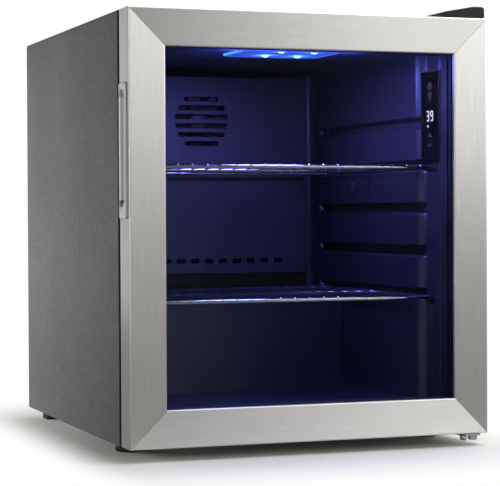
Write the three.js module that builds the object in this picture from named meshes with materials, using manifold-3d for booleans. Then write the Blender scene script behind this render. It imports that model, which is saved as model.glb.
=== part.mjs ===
// Compact glass-door beverage fridge: a foamed steel cabinet with a compressor at its back, and a
// stainless-framed glass door that swings on two vertical pins at the right-hand side.
// Millimetres, +Z up. The door faces -Y; the origin is on the floor under the middle of the fridge.
import * as THREE from "three";
import { mergeVertices } from "three/addons/utils/BufferGeometryUtils.js";
import Module from "manifold-3d";

const wasm = await Module();
wasm.setup();

// ---- driving dimensions -------------------------------------------------------------------
const width = 438; // cabinet and door
const depth = 500; // door front to the rear edge of the cabinet sides
const bodyHeight = 490; // cabinet, without feet and hinge cover
const footGap = 14; // floor to the underside of the cabinet
const doorThickness = 36;
const gasketThickness = 8; // between the closed door and the cabinet
const gap = 0.3; // between pieces that touch
const sheet = 0.8; // cabinet steel
const wall = 36; // steel, foam and liner at the sides
const floorWall = 26;
const ceilingWall = 32;
const linerSheet = 2;
const flange = 29; // front edge of the cabinet, where the gasket seals
const railWidth = 42.5; // stainless rails round the glass
const railSheet = 1.2;
const shelfLevels = [173, 225, 277, 329, 381]; // heights of the shelf grooves above the floor
const shelvesAt = { lower_shelf: 173, upper_shelf: 329 };
const bayDepth = 140; // machine bay, at the bottom of the back
const bayTop = 140;
const hingeInset = { x: 11, y: 18 }; // hinge axis from the right side and from the door front
const rearRecess = 24; // rear panel behind the edges of the sides

// ---- derived dimensions -------------------------------------------------------------------
const half = width / 2;
const doorFront = -depth / 2;
const doorBack = doorFront + doorThickness;
const cabinetFront = doorBack + gasketThickness;
const back = depth / 2;
const base = footGap;
const top = base + bodyHeight;
const doorBottom = base + 0.8;
const doorTop = top - 0.8;
const rearPanelY = back - rearRecess;
const bayFront = back - bayDepth;
const roomHalf = half - wall; // clear half width of the room behind the flange
const rackHalf = roomHalf - 9.5; // between the moulded shelf racks
const rackFront = cabinetFront + 55;
const rackSlope = rackFront - 17; // where the wall begins to slope in to the rack
const roomFloor = base + floorWall;
const roomCeiling = top - ceilingWall;
const roomBack = rearPanelY - wall;
const stepFront = bayFront - 25; // liner step over the machine bay
const stepTop = bayTop + 24;
const hinge = { x: half - hingeInset.x, y: doorFront + hingeInset.y };
const glassHalf = half - railWidth; // opening in the rails
const glassBottom = doorBottom + railWidth;
const glassTop = doorTop - railWidth;
const inside = half - sheet - gap; // half width left for what fits between the sides

// ---- fastenings shared by several pieces --------------------------------------------------
const footX = 190;
const frontFootY = -138;
const footStem = { radius: 4, top: base + 16 };
const bracketBack = cabinetFront + 58;
const shankReach = 12;
const topScrews = [
  [half - 12, cabinetFront + 20],
  [half - 12, bracketBack - 12],
  [half - 36, bracketBack - 12],
];
const lowScrews = [
  [half - 12, cabinetFront + 30],
  [half - 12, cabinetFront + 50],
];

// ---- materials ----------------------------------------------------------------------------
const finish = (color, roughness, metalness, extra = {}) =>
  new THREE.MeshStandardMaterial({ color, roughness, metalness, ...extra });
const stainless = finish(0xb9bab8, 0.35, 1);
const greySteel = finish(0x63656a, 0.5, 0.6);
const zincSteel = finish(0xa9abad, 0.4, 1);
const blackSteel = finish(0x1a1a1c, 0.5, 0.4);
const chrome = finish(0xd5d7da, 0.12, 1);
const copper = finish(0xb87346, 0.35, 1);
const aluminium = finish(0xc4c7c9, 0.4, 1);
const linerPlastic = finish(0x1b1c28, 0.45, 0);
const blackPlastic = finish(0x121214, 0.5, 0);
const glossBlack = finish(0x060608, 0.12, 0);
const rubber = finish(0x0d0d0e, 0.75, 0);
const foam = finish(0xe2d6a8, 0.9, 0);
const circuitBoard = finish(0x1f5a37, 0.5, 0);
const lampPlastic = finish(0x6f9cff, 0.25, 0, { transparent: true, opacity: 0.6 });
const clearGlass = finish(0xdde6ea, 0.05, 0, { transparent: true, opacity: 0.25 });

// ---- geometry helpers ---------------------------------------------------------------------
// A box between two opposite corners.
function box(low, high) {
  const size = high.map((value, i) => value - low[i]);
  const middle = high.map((value, i) => (value + low[i]) / 2);
  return new THREE.BoxGeometry(...size).translate(...middle);
}

// An outline of [u, v] points extruded along an axis from one coordinate to another.
// The outline lies in (y, z) for "x", in (x, z) for "y" and in (x, y) for "z".
function prism(outline, axis, from, to) {
  const shape = outline instanceof THREE.Shape ? outline : shapeOf(outline);
  const body = new THREE.ExtrudeGeometry(shape, {
    depth: to - from,
    bevelEnabled: false,
    curveSegments: 5,
  });
  if (axis === "y") return body.rotateX(Math.PI / 2).translate(0, to, 0);
  body.translate(0, 0, from);
  return axis === "x" ? body.rotateX(Math.PI / 2).rotateZ(Math.PI / 2) : body;
}

function shapeOf(points) {
  return new THREE.Shape(points.map(([u, v]) => new THREE.Vector2(u, v)));
}

// A rectangle with round corners, as a shape in the plane.
function roundedRectangle(u0, v0, u1, v1, radius) {
  const shape = new THREE.Shape();
  shape.moveTo(u0 + radius, v0);
  shape.lineTo(u1 - radius, v0);
  shape.absarc(u1 - radius, v0 + radius, radius, -Math.PI / 2, 0, false);
  shape.lineTo(u1, v1 - radius);
  shape.absarc(u1 - radius, v1 - radius, radius, 0, Math.PI / 2, false);
  shape.lineTo(u0 + radius, v1);
  shape.absarc(u0 + radius, v1 - radius, radius, Math.PI / 2, Math.PI, false);
  shape.lineTo(u0, v0 + radius);
  shape.absarc(u0 + radius, v0 + radius, radius, Math.PI, 1.5 * Math.PI, false);
  return shape;
}

// An upright cylinder with its axis at (x, y).
function post(x, y, radius, from, to, sides = 20) {
  return new THREE.CylinderGeometry(radius, radius, to - from, sides)
    .rotateX(Math.PI / 2)
    .translate(x, y, (from + to) / 2);
}

// A body of revolution about an upright axis at (x, y), from [radius, height] points.
function turned(profile, x, y, sides = 24) {
  const points = profile.map(([radius, z]) => new THREE.Vector2(radius, z));
  return new THREE.LatheGeometry(points, sides).rotateX(Math.PI / 2).translate(x, y, 0);
}

// A path through stations, with straight stretches between them.
class Route extends THREE.Curve {
  constructor(stations) {
    super();
    this.stations = stations;
  }
  getPoint(t) {
    const place = t * (this.stations.length - 1);
    const first = Math.min(Math.floor(place), this.stations.length - 2);
    return this.stations[first].clone().lerp(this.stations[first + 1], place - first);
  }
  getPointAt(u) {
    return this.getPoint(u);
  }
  getTangentAt(u) {
    const step = 0.5 / (this.stations.length - 1);
    const ahead = this.getPoint(Math.min(u + step, 1));
    return ahead.sub(this.getPoint(Math.max(u - step, 0))).normalize();
  }
}

// A round bar through corner points, with each corner rounded off at a distance of bend.
function bar(points, radius, bend = 0, sides = 8) {
  const corners = points.map((point) => new THREE.Vector3(...point));
  const last = corners.length - 1;
  const stations = corners.flatMap((corner, i) => {
    if (i === 0 || i === last) return [corner];
    const enter = corner.clone().add(corners[i - 1].clone().sub(corner).setLength(bend));
    const leave = corner.clone().add(corners[i + 1].clone().sub(corner).setLength(bend));
    return new THREE.QuadraticBezierCurve3(enter, corner, leave).getPoints(4);
  });
  const section = new THREE.Shape();
  for (let i = 0; i < sides; i++) {
    const angle = (2 * Math.PI * (i + 0.5)) / sides;
    section[i ? "lineTo" : "moveTo"](radius * Math.cos(angle), radius * Math.sin(angle));
  }
  return new THREE.ExtrudeGeometry(section, {
    steps: stations.length - 1,
    extrudePath: new Route(stations),
    bevelEnabled: false,
  });
}

// A closed geometry as a solid that can be joined and cut.
function solid(geometry) {
  const bare = geometry.clone();
  bare.deleteAttribute("normal");
  bare.deleteAttribute("uv");
  const merged = mergeVertices(bare, 1e-4);
  return new wasm.Manifold(
    new wasm.Mesh({
      numProp: 3,
      vertProperties: new Float32Array(merged.attributes.position.array),
      triVerts: new Uint32Array(merged.index.array),
    }),
  );
}

function geometryOf(body) {
  const { vertProperties, triVerts } = body.getMesh();
  const geometry = new THREE.BufferGeometry();
  geometry.setAttribute("position", new THREE.BufferAttribute(vertProperties, 3));
  geometry.setIndex(new THREE.BufferAttribute(triVerts, 1));
  return geometry.toNonIndexed();
}

const join = (...pieces) => geometryOf(pieces.map(solid).reduce((a, b) => a.add(b)));
const cut = (body, ...tools) =>
  geometryOf(tools.map(solid).reduce((a, b) => a.subtract(b), solid(body)));

const mirrored = (outline) => [...outline, ...outline.map(([u, v]) => [-u, v]).reverse()];

const fridge = new THREE.Group();
const cabinet = new THREE.Group();
const door = new THREE.Group();
fridge.add(cabinet, door);

function place(group, name, geometry, material) {
  geometry.computeVertexNormals();
  const mesh = new THREE.Mesh(geometry, material);
  mesh.name = name;
  group.add(mesh);
  return mesh;
}

// ---- cabinet shell ------------------------------------------------------------------------
// One sheet folded over both sides and the top, with its front edges turned in to a flange.
function outerShell() {
  const radius = 3;
  const outline = (inset, sill) => {
    const side = half - inset;
    const roof = top - inset;
    const r = inset > 0 ? 0.5 : radius;
    const shape = new THREE.Shape();
    shape.moveTo(-side, sill);
    shape.lineTo(side, sill);
    shape.lineTo(side, roof - r);
    shape.absarc(side - r, roof - r, r, 0, Math.PI / 2, false);
    shape.lineTo(-side + r, roof);
    shape.absarc(-side + r, roof - r, r, Math.PI / 2, Math.PI, false);
    return shape;
  };
  const space = prism(outline(sheet, base - 1), "y", cabinetFront + sheet, back + 1);
  const mouth = box(
    [-half + flange, cabinetFront - 1, base - 1],
    [half - flange, back, top - flange],
  );
  return cut(prism(outline(0, base), "y", cabinetFront, back), space, mouth, ...screwBores(gap));
}

// Folded steel rail across the bottom of the front, between the flanges of the sides.
function frontRail() {
  const reach = half - flange - gap;
  const height = roomFloor - base - 5;
  const turnIn = 21;
  const section = [
    [cabinetFront, base],
    [cabinetFront + turnIn, base],
    [cabinetFront + turnIn, base + sheet],
    [cabinetFront + sheet, base + sheet],
    [cabinetFront + sheet, base + height],
    [cabinetFront, base + height],
  ];
  return prism(section, "x", -reach, reach);
}

// The room inside the fridge, made larger all round by grow: a wide bay behind the flange, racks
// with grooves for the shelves at both sides, and a step over the machine bay.
function room(grow) {
  const flare = roomHalf + 4;
  const mouth = mirrored([
    [flare + grow, cabinetFront - 2],
    [roomHalf + grow, cabinetFront + 11],
    [roomHalf + grow, rackSlope + grow / 2],
    [rackHalf + grow, rackFront + grow / 2],
  ]);
  const bay = prism(mouth, "z", roomFloor - grow, roomCeiling + grow);
  const upper = box(
    [-rackHalf - grow, rackFront - 5, stepTop - grow],
    [rackHalf + grow, roomBack + grow, roomCeiling + grow],
  );
  const lower = box(
    [-rackHalf - grow, rackFront - 5, roomFloor - grow],
    [rackHalf + grow, stepFront + grow, stepTop + 1],
  );
  const grooves = shelfLevels.map((level) =>
    box(
      [-roomHalf - grow, rackFront - 20, level - 4 - grow],
      [roomHalf + grow, roomBack - 30 + grow, level + 11 + grow],
    ),
  );
  return join(bay, upper, lower, ...grooves);
}

// Vacuum-formed liner, with a lip that is held behind the steel flange.
function innerLiner() {
  const lipFront = cabinetFront + sheet + gap;
  const lipReach = 18;
  const lip = box(
    [-roomHalf - lipReach, lipFront, roomFloor - 12],
    [roomHalf + lipReach, lipFront + linerSheet, roomCeiling + 12],
  );
  const ahead = box([-half, cabinetFront - 10, 0], [half, lipFront, top + 10]);
  return cut(join(room(linerSheet), lip), ahead, room(0));
}

// Bores for the front feet's stems, and for the shanks of the hinge screws.
function footBores(clearance) {
  const radius = footStem.radius + clearance;
  return [-footX, footX].map((x) => post(x, frontFootY, radius, base - 1, footStem.top + 2, 16));
}
function screwBores(clearance) {
  const low = lowScrews.map(([x, y]) => post(x, y, 2.5 + clearance, base - 1, base + shankReach, 12));
  const high = topScrews.map(([x, y]) => post(x, y, 2 + clearance, top - shankReach, top + 1, 12));
  return [...low, ...high];
}

// Polyurethane foam that fills the space between the steel and the liner.
function insulationFoam() {
  const front = cabinetFront + sheet + gap + linerSheet + gap;
  const block = box(
    [-inside, front, base + sheet + gap],
    [inside, rearPanelY - gap, top - sheet - gap],
  );
  const machineBay = box([-half, bayFront - gap, 0], [half, back, bayTop + sheet + gap]);
  const fastenings = [...footBores(0.8), ...screwBores(1)];
  return cut(block, room(linerSheet + gap), machineBay, ...fastenings);
}

place(cabinet, "outer_shell", outerShell(), greySteel);
place(cabinet, "front_rail", frontRail(), greySteel);
place(cabinet, "inner_liner", innerLiner(), linerPlastic);
place(cabinet, "insulation_foam", insulationFoam(), foam);
place(
  cabinet,
  "rear_panel",
  box([-inside, rearPanelY, bayTop + sheet + gap], [inside, rearPanelY + sheet, top - sheet - gap]),
  blackSteel,
);
function basePan() {
  const plate = box([-inside, cabinetFront + 22, base], [inside, back - 1, base + sheet]);
  return cut(plate, ...footBores(gap), ...screwBores(gap));
}
place(cabinet, "base_pan", basePan(), zincSteel);
place(
  cabinet,
  "machine_bay_cover",
  prism(
    [
      [bayFront, base + sheet + gap],
      [bayFront + sheet, base + sheet + gap],
      [bayFront + sheet, bayTop],
      [rearPanelY - gap, bayTop],
      [rearPanelY - gap, bayTop + sheet],
      [bayFront, bayTop + sheet],
    ],
    "x",
    -inside,
    inside,
  ),
  zincSteel,
);

// ---- feet ---------------------------------------------------------------------------------
// A front foot is a wide plastic pad on a threaded stem; turning it out lifts the front.
const padProfile = [
  [0, 0],
  [14, 0],
  [15, 1.5],
  [15, 5],
  [12, 8],
  [footStem.radius, 8],
  [footStem.radius, footStem.top],
  [0, footStem.top],
];
for (const [side, x] of [["left", -footX], ["right", footX]]) {
  place(cabinet, `${side}_levelling_foot`, turned(padProfile, x, frontFootY, 16), blackPlastic);
  const block = prism(roundedRectangle(-14, -14, 14, 14, 4), "z", 0, footGap - gap);
  place(cabinet, `${side}_rear_foot`, block, rubber).position.set(x, 222, 0);
}

// ---- machine bay --------------------------------------------------------------------------
const compressor = new THREE.Group();
compressor.position.set(70, 181, base + sheet);
cabinet.add(compressor);

function compressorBody() {
  const stretch = new THREE.Matrix4().makeScale(1.25, 1, 1);
  const profile = [[0, 12], [32, 13], [44, 19], [50, 30], [50, 78], [44, 92], [30, 99], [0, 101]];
  const can = turned(profile, 0, 0, 24);
  can.applyMatrix4(stretch);
  const plate = prism(roundedRectangle(-84, -46, 84, 46, 8), "z", 20, 23);
  const holes = mountPlaces.map(([x, y]) => post(x, y, 5.5, 15, 30, 12));
  return cut(join(can, plate), ...holes);
}
const mountPlaces = [[-74, -36], [74, -36], [-74, 36], [74, 36]];
place(compressor, "compressor", compressorBody(), blackSteel);
mountPlaces.forEach(([x, y], i) => {
  const grommet = [[0, gap], [9, gap], [9, 16], [7, 19.7], [5, 19.7], [5, 24], [8, 24], [7, 27], [0, 27]];
  place(compressor, `compressor_mount_${i + 1}`, turned(grommet, x, y, 12), rubber);
});
place(
  compressor,
  "start_relay_box",
  prism(roundedRectangle(-98, -19, -64, 19, 4), "z", 38, 78),
  blackPlastic,
);

// Tray on top of the warm compressor, where meltwater dries off.
function dripTray() {
  const outside = prism(roundedRectangle(-66, -44, 66, 44, 8), "z", 105, 117);
  const hollow = prism(roundedRectangle(-64, -42, 64, 42, 6), "z", 107, 120);
  return cut(outside, hollow);
}
place(compressor, "drip_tray", dripTray(), blackPlastic);

// ---- refrigerant circuit ------------------------------------------------------------------
const coilY = rearPanelY + 13;
const coilRuns = 7;
const coilBottom = 190;
const coilPitch = 44;
const coilReach = 176;
const coilTube = 2.6;

// Condenser: a tube that runs to and fro behind the rear panel, braced by upright wires.
function condenserCoil() {
  const turns = [];
  for (let run = 0; run < coilRuns; run++) {
    const z = coilBottom + run * coilPitch;
    const from = run % 2 ? coilReach : -coilReach;
    turns.push([from, coilY, z], [-from, coilY, z]);
  }
  const tube = bar(turns, coilTube, 14, 6);
  const wires = [];
  const wireTop = coilBottom + (coilRuns - 1) * coilPitch + 10;
  for (let x = -144; x <= 144; x += 32) {
    wires.push(box([x - 0.9, coilY - 3.2, coilBottom - 10], [x + 0.9, coilY - 1.4, wireTop]));
  }
  return join(tube, ...wires);
}
place(cabinet, "condenser_coil", condenserCoil(), blackSteel);

const pipeRadius = 3;
const dischargePipe = [
  [40, 236, 60],
  [20, 242, 60],
  [-30, 242, 100],
  [-coilReach, 242, 130],
  [-coilReach, coilY, 150],
  [-coilReach, coilY, coilBottom - coilTube - gap],
];
place(cabinet, "discharge_pipe", bar(dischargePipe, pipeRadius, 8), copper);
const dryer = [[0, 0], [4, 0], [9, 10], [9, 62], [4, 72], [0, 72]];
place(cabinet, "filter_dryer", turned(dryer, -120, 205, 16), copper).position.z = 40;
const suctionPipe = [
  [125, 152, 60],
  [150, 152, 60],
  [178, 160, 80],
  [178, 180, 134],
];
place(cabinet, "suction_pipe", bar(suctionPipe, pipeRadius, 10), copper);

// ---- air duct at the back of the room -----------------------------------------------------
const ductFront = roomBack - 30;
const ductBottom = stepTop + 30;
const ductTop = roomCeiling - 12;
const ductHalf = 150;
const fanCentre = { x: 0, z: 400 };
const fanRadius = 40;
place(
  cabinet,
  "evaporator_plate",
  box([-135, roomBack - 6, ductBottom + 20], [135, roomBack - 4.5, 345]),
  aluminium,
);

// Cover over the evaporator, with a slotted grille in front of the fan and vents low down.
function ductCover() {
  const skin = 2;
  const shell = box([-ductHalf, ductFront, ductBottom], [ductHalf, roomBack - gap, ductTop]);
  const hollow = box(
    [-ductHalf + skin, ductFront + skin, ductBottom + skin],
    [ductHalf - skin, roomBack + 1, ductTop - skin],
  );
  const slots = [];
  for (let z = fanCentre.z - 30; z <= fanCentre.z + 30; z += 12) {
    const reach = Math.sqrt(fanRadius ** 2 - (z - fanCentre.z) ** 2) - 3;
    slots.push(box([-reach, ductFront - 1, z - 3], [reach, ductFront + 3, z + 3]));
  }
  for (let x = -110; x <= 110; x += 20) {
    slots.push(box([x - 6, ductFront - 1, ductBottom + 14], [x + 6, ductFront + 3, ductBottom + 20]));
  }
  return cut(shell, hollow, ...slots);
}
place(cabinet, "duct_cover", ductCover(), blackPlastic);

// Square fan frame with a three-spoked motor mount.
function fanFrame() {
  const outline = roundedRectangle(fanCentre.x - 46, fanCentre.z - 46, fanCentre.x + 46, fanCentre.z + 46, 6);
  const frame = prism(outline, "y", ductFront + 3, ductFront + 21);
  const throat = post(0, 0, fanRadius + 2, -30, 30, 32)
    .rotateX(Math.PI / 2)
    .translate(fanCentre.x, ductFront + 12, fanCentre.z);
  const ring = cut(frame, throat);
  const motor = post(0, 0, 15, 0, 5, 20);
  const spokes = [90, 210, 330].map((degrees) =>
    box([0, -2, 0], [fanRadius + 4, 2, 2.5]).rotateZ((degrees * Math.PI) / 180),
  );
  const mount = join(motor, ...spokes)
    .rotateX(Math.PI / 2)
    .translate(fanCentre.x, ductFront + 21, fanCentre.z);
  return join(ring, mount);
}
place(cabinet, "fan_frame", fanFrame(), blackPlastic);

// Hub with seven pitched blades.
function fanRotor() {
  const hub = post(0, 0, 15, -10, 0, 20);
  const blades = Array.from({ length: 7 }, (_, i) =>
    box([10, -9, -0.7], [fanRadius, 9, 0.7])
      .rotateX(0.5)
      .translate(0, 0, -5)
      .rotateZ((i * 2 * Math.PI) / 7),
  );
  return join(hub, ...blades)
    .rotateX(Math.PI / 2)
    .translate(fanCentre.x, ductFront + 5.2, fanCentre.z);
}
place(cabinet, "fan_rotor", fanRotor(), blackPlastic);

// ---- lamp ---------------------------------------------------------------------------------
const lamp = { x: 14, y: -120, halfX: 62, halfY: 60 };
const ledRows = { x: lamp.x + 6, spread: 21, y: lamp.y, reach: 28 };
const lampTop = roomCeiling - gap;

// Circuit board with four lamps soldered to its underside.
function lampBoard() {
  const underside = lampTop - 1.6;
  const board = box([lamp.x - 45, lamp.y - 40, underside], [lamp.x + 45, lamp.y + 40, lampTop]);
  const leds = [-1, 1].flatMap((i) =>
    [-1, 1].map((j) => {
      const [x, y] = [ledRows.x + i * ledRows.spread, ledRows.y + j * ledRows.reach];
      return box([x - 2.5, y - 2.5, underside - 1.4], [x + 2.5, y + 2.5, underside + 0.5]);
    }),
  );
  return join(board, ...leds);
}
place(cabinet, "lamp_board", lampBoard(), circuitBoard);

// Frosted dish under the board.
function lampCover() {
  const { x, y, halfX, halfY } = lamp;
  const outline = roundedRectangle(x - halfX, y - halfY, x + halfX, y + halfY, 14);
  const dish = prism(outline, "z", lampTop - 6.5, lampTop);
  const hollow = prism(
    roundedRectangle(x - halfX + 2, y - halfY + 2, x + halfX - 2, y + halfY - 2, 12),
    "z",
    lampTop - 4.8,
    lampTop + 1,
  );
  return cut(dish, hollow);
}
place(cabinet, "lamp_cover", lampCover(), lampPlastic);

// ---- control panel on the right-hand wall ---------------------------------------------------
const panelBottom = 336;
const panelTop = 445;
const panelFace = [
  [roomHalf - 1.8, cabinetFront + 3],
  [roomHalf - 6.6, cabinetFront + 46],
];
const wallSide = roomHalf - gap;
place(
  cabinet,
  "control_panel_housing",
  prism(
    [
      [wallSide, cabinetFront + 11],
      [wallSide, rackSlope - gap],
      [panelFace[1][0] + 1, panelFace[1][1]],
      ...panelFace.toReversed(),
    ],
    "z",
    panelBottom - 2,
    panelTop + 2,
  ),
  blackPlastic,
);
const panelOffset = 1.4;
place(
  cabinet,
  "control_panel_glass",
  prism(
    [
      [panelFace[0][0] - gap, panelFace[0][1] + 2],
      [panelFace[1][0] - gap, panelFace[1][1] - 2],
      [panelFace[1][0] - gap - panelOffset, panelFace[1][1] - 2],
      [panelFace[0][0] - gap - panelOffset, panelFace[0][1] + 2],
    ].reverse(),
    "z",
    panelBottom,
    panelTop,
  ),
  glossBlack,
);
place(
  cabinet,
  "temperature_sensor",
  prism(roundedRectangle(40, 300, 52, 316, 3), "x", rackHalf - 5, rackHalf - gap),
  blackPlastic,
);
// Strain relief of the mains lead, snapped into the machine bay cover's lower edge.
const gland = [[0, 0], [7, 0], [7, 3], [5, 6], [4, 24], [0, 24]];
const cordGland = place(cabinet, "cord_gland", turned(gland, 0, 0, 16), rubber);
cordGland.rotation.x = -Math.PI / 2;
cordGland.position.set(-60, bayFront + sheet + gap, 44);

// ---- hinges -------------------------------------------------------------------------------
const pinRadius = 4;
const bracketSheet = 2.5;
const bracketFront = hinge.y - 10;
const bracketOutline = (inner, noseInner) => [
  [half - 2.5, bracketFront + 6],
  [half - 2.5, bracketBack],
  [inner, bracketBack],
  [inner, cabinetFront + 8],
  [noseInner, hinge.y + 8],
  [noseInner, bracketFront + 6],
  [noseInner + 4, bracketFront],
  [half - 6, bracketFront],
];
const topPlateZ = top + gap;

// Steel plate on the roof with its pin riveted in.
function topHinge() {
  const outline = bracketOutline(half - 46, hinge.x - 10);
  const plate = prism(outline, "z", topPlateZ, topPlateZ + bracketSheet);
  const pin = post(hinge.x, hinge.y, pinRadius, doorTop - 17, topPlateZ + 1);
  const holes = topScrews.map(([x, y]) => post(x, y, 2.4, top, top + 5, 12));
  return cut(join(plate, pin), ...holes);
}
place(cabinet, "top_hinge", topHinge(), zincSteel);

// Pan-head screw with the underside of its head at z = 0 and its shank below.
function screw(headRadius, headHeight, shankRadius, shankLength) {
  return turned(
    [
      [0, -shankLength],
      [shankRadius, -shankLength],
      [shankRadius, 0],
      [headRadius, 0],
      [headRadius, headHeight * 0.5],
      [headRadius * 0.6, headHeight],
      [0, headHeight],
    ],
    0,
    0,
    12,
  );
}
topScrews.forEach(([x, y], i) => {
  const name = `top_hinge_screw_${i + 1}`;
  const mesh = place(cabinet, name, screw(4.2, 2.4, 2, bracketSheet + shankReach - 2), zincSteel);
  mesh.position.set(x, y, topPlateZ + bracketSheet + gap);
});

// Cover that clips over the top hinge: low at its inner end and high over the pin.
const coverInner = half - 54;
const coverFront = hinge.y - 12;
const coverBack = bracketBack + 2;
const coverHeight = 13;
function coverSection(inset, sill) {
  const high = topPlateZ + coverHeight - inset;
  const shape = new THREE.Shape();
  shape.moveTo(coverInner + inset, sill);
  shape.lineTo(half - inset, sill);
  shape.lineTo(half - inset, high - 4 + inset);
  shape.absarc(half - 4, high - 4 + inset, 4 - inset, 0, Math.PI / 2, false);
  shape.lineTo(half - 14, high);
  shape.lineTo(coverInner + 4, topPlateZ + 6.5 - inset);
  shape.lineTo(coverInner + inset, topPlateZ + 4.5 - inset);
  return shape;
}
function hingeCover() {
  const skin = 1.6;
  const outside = prism(coverSection(0, topPlateZ), "y", coverFront, coverBack);
  const hollow = prism(coverSection(skin, topPlateZ - 1), "y", coverFront + skin, coverBack - skin);
  return cut(outside, hollow);
}
place(cabinet, "top_hinge_cover", hingeCover(), glossBlack);

// Lower bracket under the cabinet and the door, with a stop screw beside the hinge pin.
const lowPlateTop = base - gap;
const lowPlateBottom = lowPlateTop - bracketSheet;
const stopScrew = [hinge.x - 12, hinge.y];
function bottomHinge() {
  const outline = bracketOutline(half - 24, stopScrew[0] - 6);
  const plate = prism(outline, "z", lowPlateBottom, lowPlateTop);
  const holes = [...lowScrews, stopScrew].map(([x, y]) => post(x, y, 2.9, 0, base, 12));
  return cut(plate, post(hinge.x, hinge.y, pinRadius + gap, 0, base, 20), ...holes);
}
place(cabinet, "bottom_hinge", bottomHinge(), zincSteel);
lowScrews.forEach(([x, y], i) => {
  const name = `bottom_hinge_screw_${i + 1}`;
  const mesh = place(cabinet, name, screw(5.2, 3.4, 2.5, bracketSheet + shankReach - 2), chrome);
  mesh.rotation.x = Math.PI;
  mesh.position.set(x, y, lowPlateBottom - gap);
});
const stop = place(cabinet, "bottom_hinge_stop_screw", screw(4.2, 6, 2.5, bracketSheet), chrome);
stop.rotation.x = Math.PI;
stop.position.set(...stopScrew, lowPlateBottom - gap);

// Hexagon-headed pin that the door stands on.
const bushDepth = 18;
const pinHeadTop = lowPlateBottom - gap;
place(
  cabinet,
  "bottom_hinge_pin",
  join(
    post(hinge.x, hinge.y, 5.5, pinHeadTop - 5.5, pinHeadTop, 6),
    post(hinge.x, hinge.y, pinRadius, pinHeadTop - 1, doorBottom + bushDepth - gap),
  ),
  chrome,
);

// ---- shelves ------------------------------------------------------------------------------
const shelfRod = 2.5;
const shelfWire = 1.5;
const shelfFront = cabinetFront + 16;
const shelfBack = ductFront - 12;
const shelfHalf = roomHalf - 1.5;

// Chromed wire shelf: a rod all round, a cross rod and wires from front to back on top.
function wireShelf(level) {
  const reach = shelfHalf - shelfRod;
  const sides = [-reach, reach].map((x) =>
    bar([[x, shelfFront, level], [x, shelfBack, level]], shelfRod, 0, 6),
  );
  const middle = (shelfFront + shelfBack) / 2;
  const crossings = [shelfFront + shelfRod, middle, shelfBack - shelfRod].map((y) =>
    bar([[-shelfHalf, y, level], [shelfHalf, y, level]], shelfRod, 0, 6),
  );
  const wireZ = level + shelfRod + shelfWire * 0.4;
  const wires = [];
  for (let x = -162; x <= 162; x += 18) {
    wires.push(bar([[x, shelfFront + 1, wireZ], [x, shelfBack - 1, wireZ]], shelfWire, 0, 4));
  }
  return join(...sides, ...crossings, ...wires);
}
for (const [name, level] of Object.entries(shelvesAt)) {
  place(fridge, name, wireShelf(level), chrome);
}

// ---- door handle --------------------------------------------------------------------------
// A stainless plate on the door's free edge with a finger trough pressed into it.
const handle = { low: 269.5, high: 421, front: doorFront + 7.5, back: doorBack - 0.5 };
const plateSheet = 1.2;
const trough = { y: doorFront + 23.5, low: 283, high: 413, halfWidth: 9.2, depth: 14 };
const handleScrew = { y: doorFront + 29, z: 276 };
const plateInner = -half - gap;

// A trough's round-ended body, half sunk in the door's edge, grown by the sheet's thickness.
function troughBody(grow) {
  const radius = trough.halfWidth + grow;
  const straight = trough.high - trough.low - 2 * trough.halfWidth;
  return new THREE.CapsuleGeometry(radius, straight, 4, 16)
    .rotateX(Math.PI / 2)
    .scale((trough.depth + grow) / radius, 1, 1)
    .translate(plateInner - plateSheet, trough.y, (trough.low + trough.high) / 2);
}

// A cylinder along x through the handle's screw hole.
function screwBore(radius) {
  return post(0, 0, radius, -20, 20, 12)
    .rotateY(Math.PI / 2)
    .translate(-half, handleScrew.y, handleScrew.z);
}
function handlePlate() {
  const outline = roundedRectangle(handle.front, handle.low, handle.back, handle.high, 4);
  const plate = prism(outline, "x", plateInner - plateSheet, plateInner);
  const outside = box([-2 * half, doorFront - 20, 0], [plateInner - plateSheet / 2, doorBack + 20, top]);
  const pocket = cut(troughBody(plateSheet), outside);
  return cut(join(plate, pocket), troughBody(0), screwBore(2.5));
}
place(door, "handle_plate", handlePlate(), stainless);
const handleScrewMesh = place(door, "handle_screw", screw(2.2, 0.7, 1.2, 7), zincSteel);
handleScrewMesh.rotation.y = -Math.PI / 2;
handleScrewMesh.position.set(plateInner - 0.4, handleScrew.y, handleScrew.z);

// ---- door ---------------------------------------------------------------------------------
// Four folded stainless rails, mitred at the corners. Each wraps the door's edge and is turned in
// again beside the glass.
const lipDepth = 5.2;
const spareHole = { x: -hinge.x, y: hinge.y }; // for hanging the door the other way round
const plugShank = 3.6;
function railRing() {
  const outer = prism(
    roundedRectangle(-half, doorBottom, half, doorTop, 1.5),
    "y",
    doorFront,
    doorBack,
  );
  const hollow = box(
    [-half + railSheet, doorFront + railSheet, doorBottom + railSheet],
    [half - railSheet, doorBack + 1, doorTop - railSheet],
  );
  const lip = box(
    [-glassHalf - railSheet, doorFront + railSheet / 2, glassBottom - railSheet],
    [glassHalf + railSheet, doorFront + lipDepth, glassTop + railSheet],
  );
  const window = box([-glassHalf, doorFront - 1, glassBottom], [glassHalf, doorBack, glassTop]);
  const holes = [doorBottom, doorTop].flatMap((z) => [
    post(hinge.x, hinge.y, 6.8, z - 3, z + 3),
    post(spareHole.x, spareHole.y, plugShank + gap, z - 3, z + 3),
  ]);
  return cut(join(cut(outer, hollow), lip), window, troughBody(plateSheet + gap), screwBore(1.6), ...holes);
}

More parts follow.
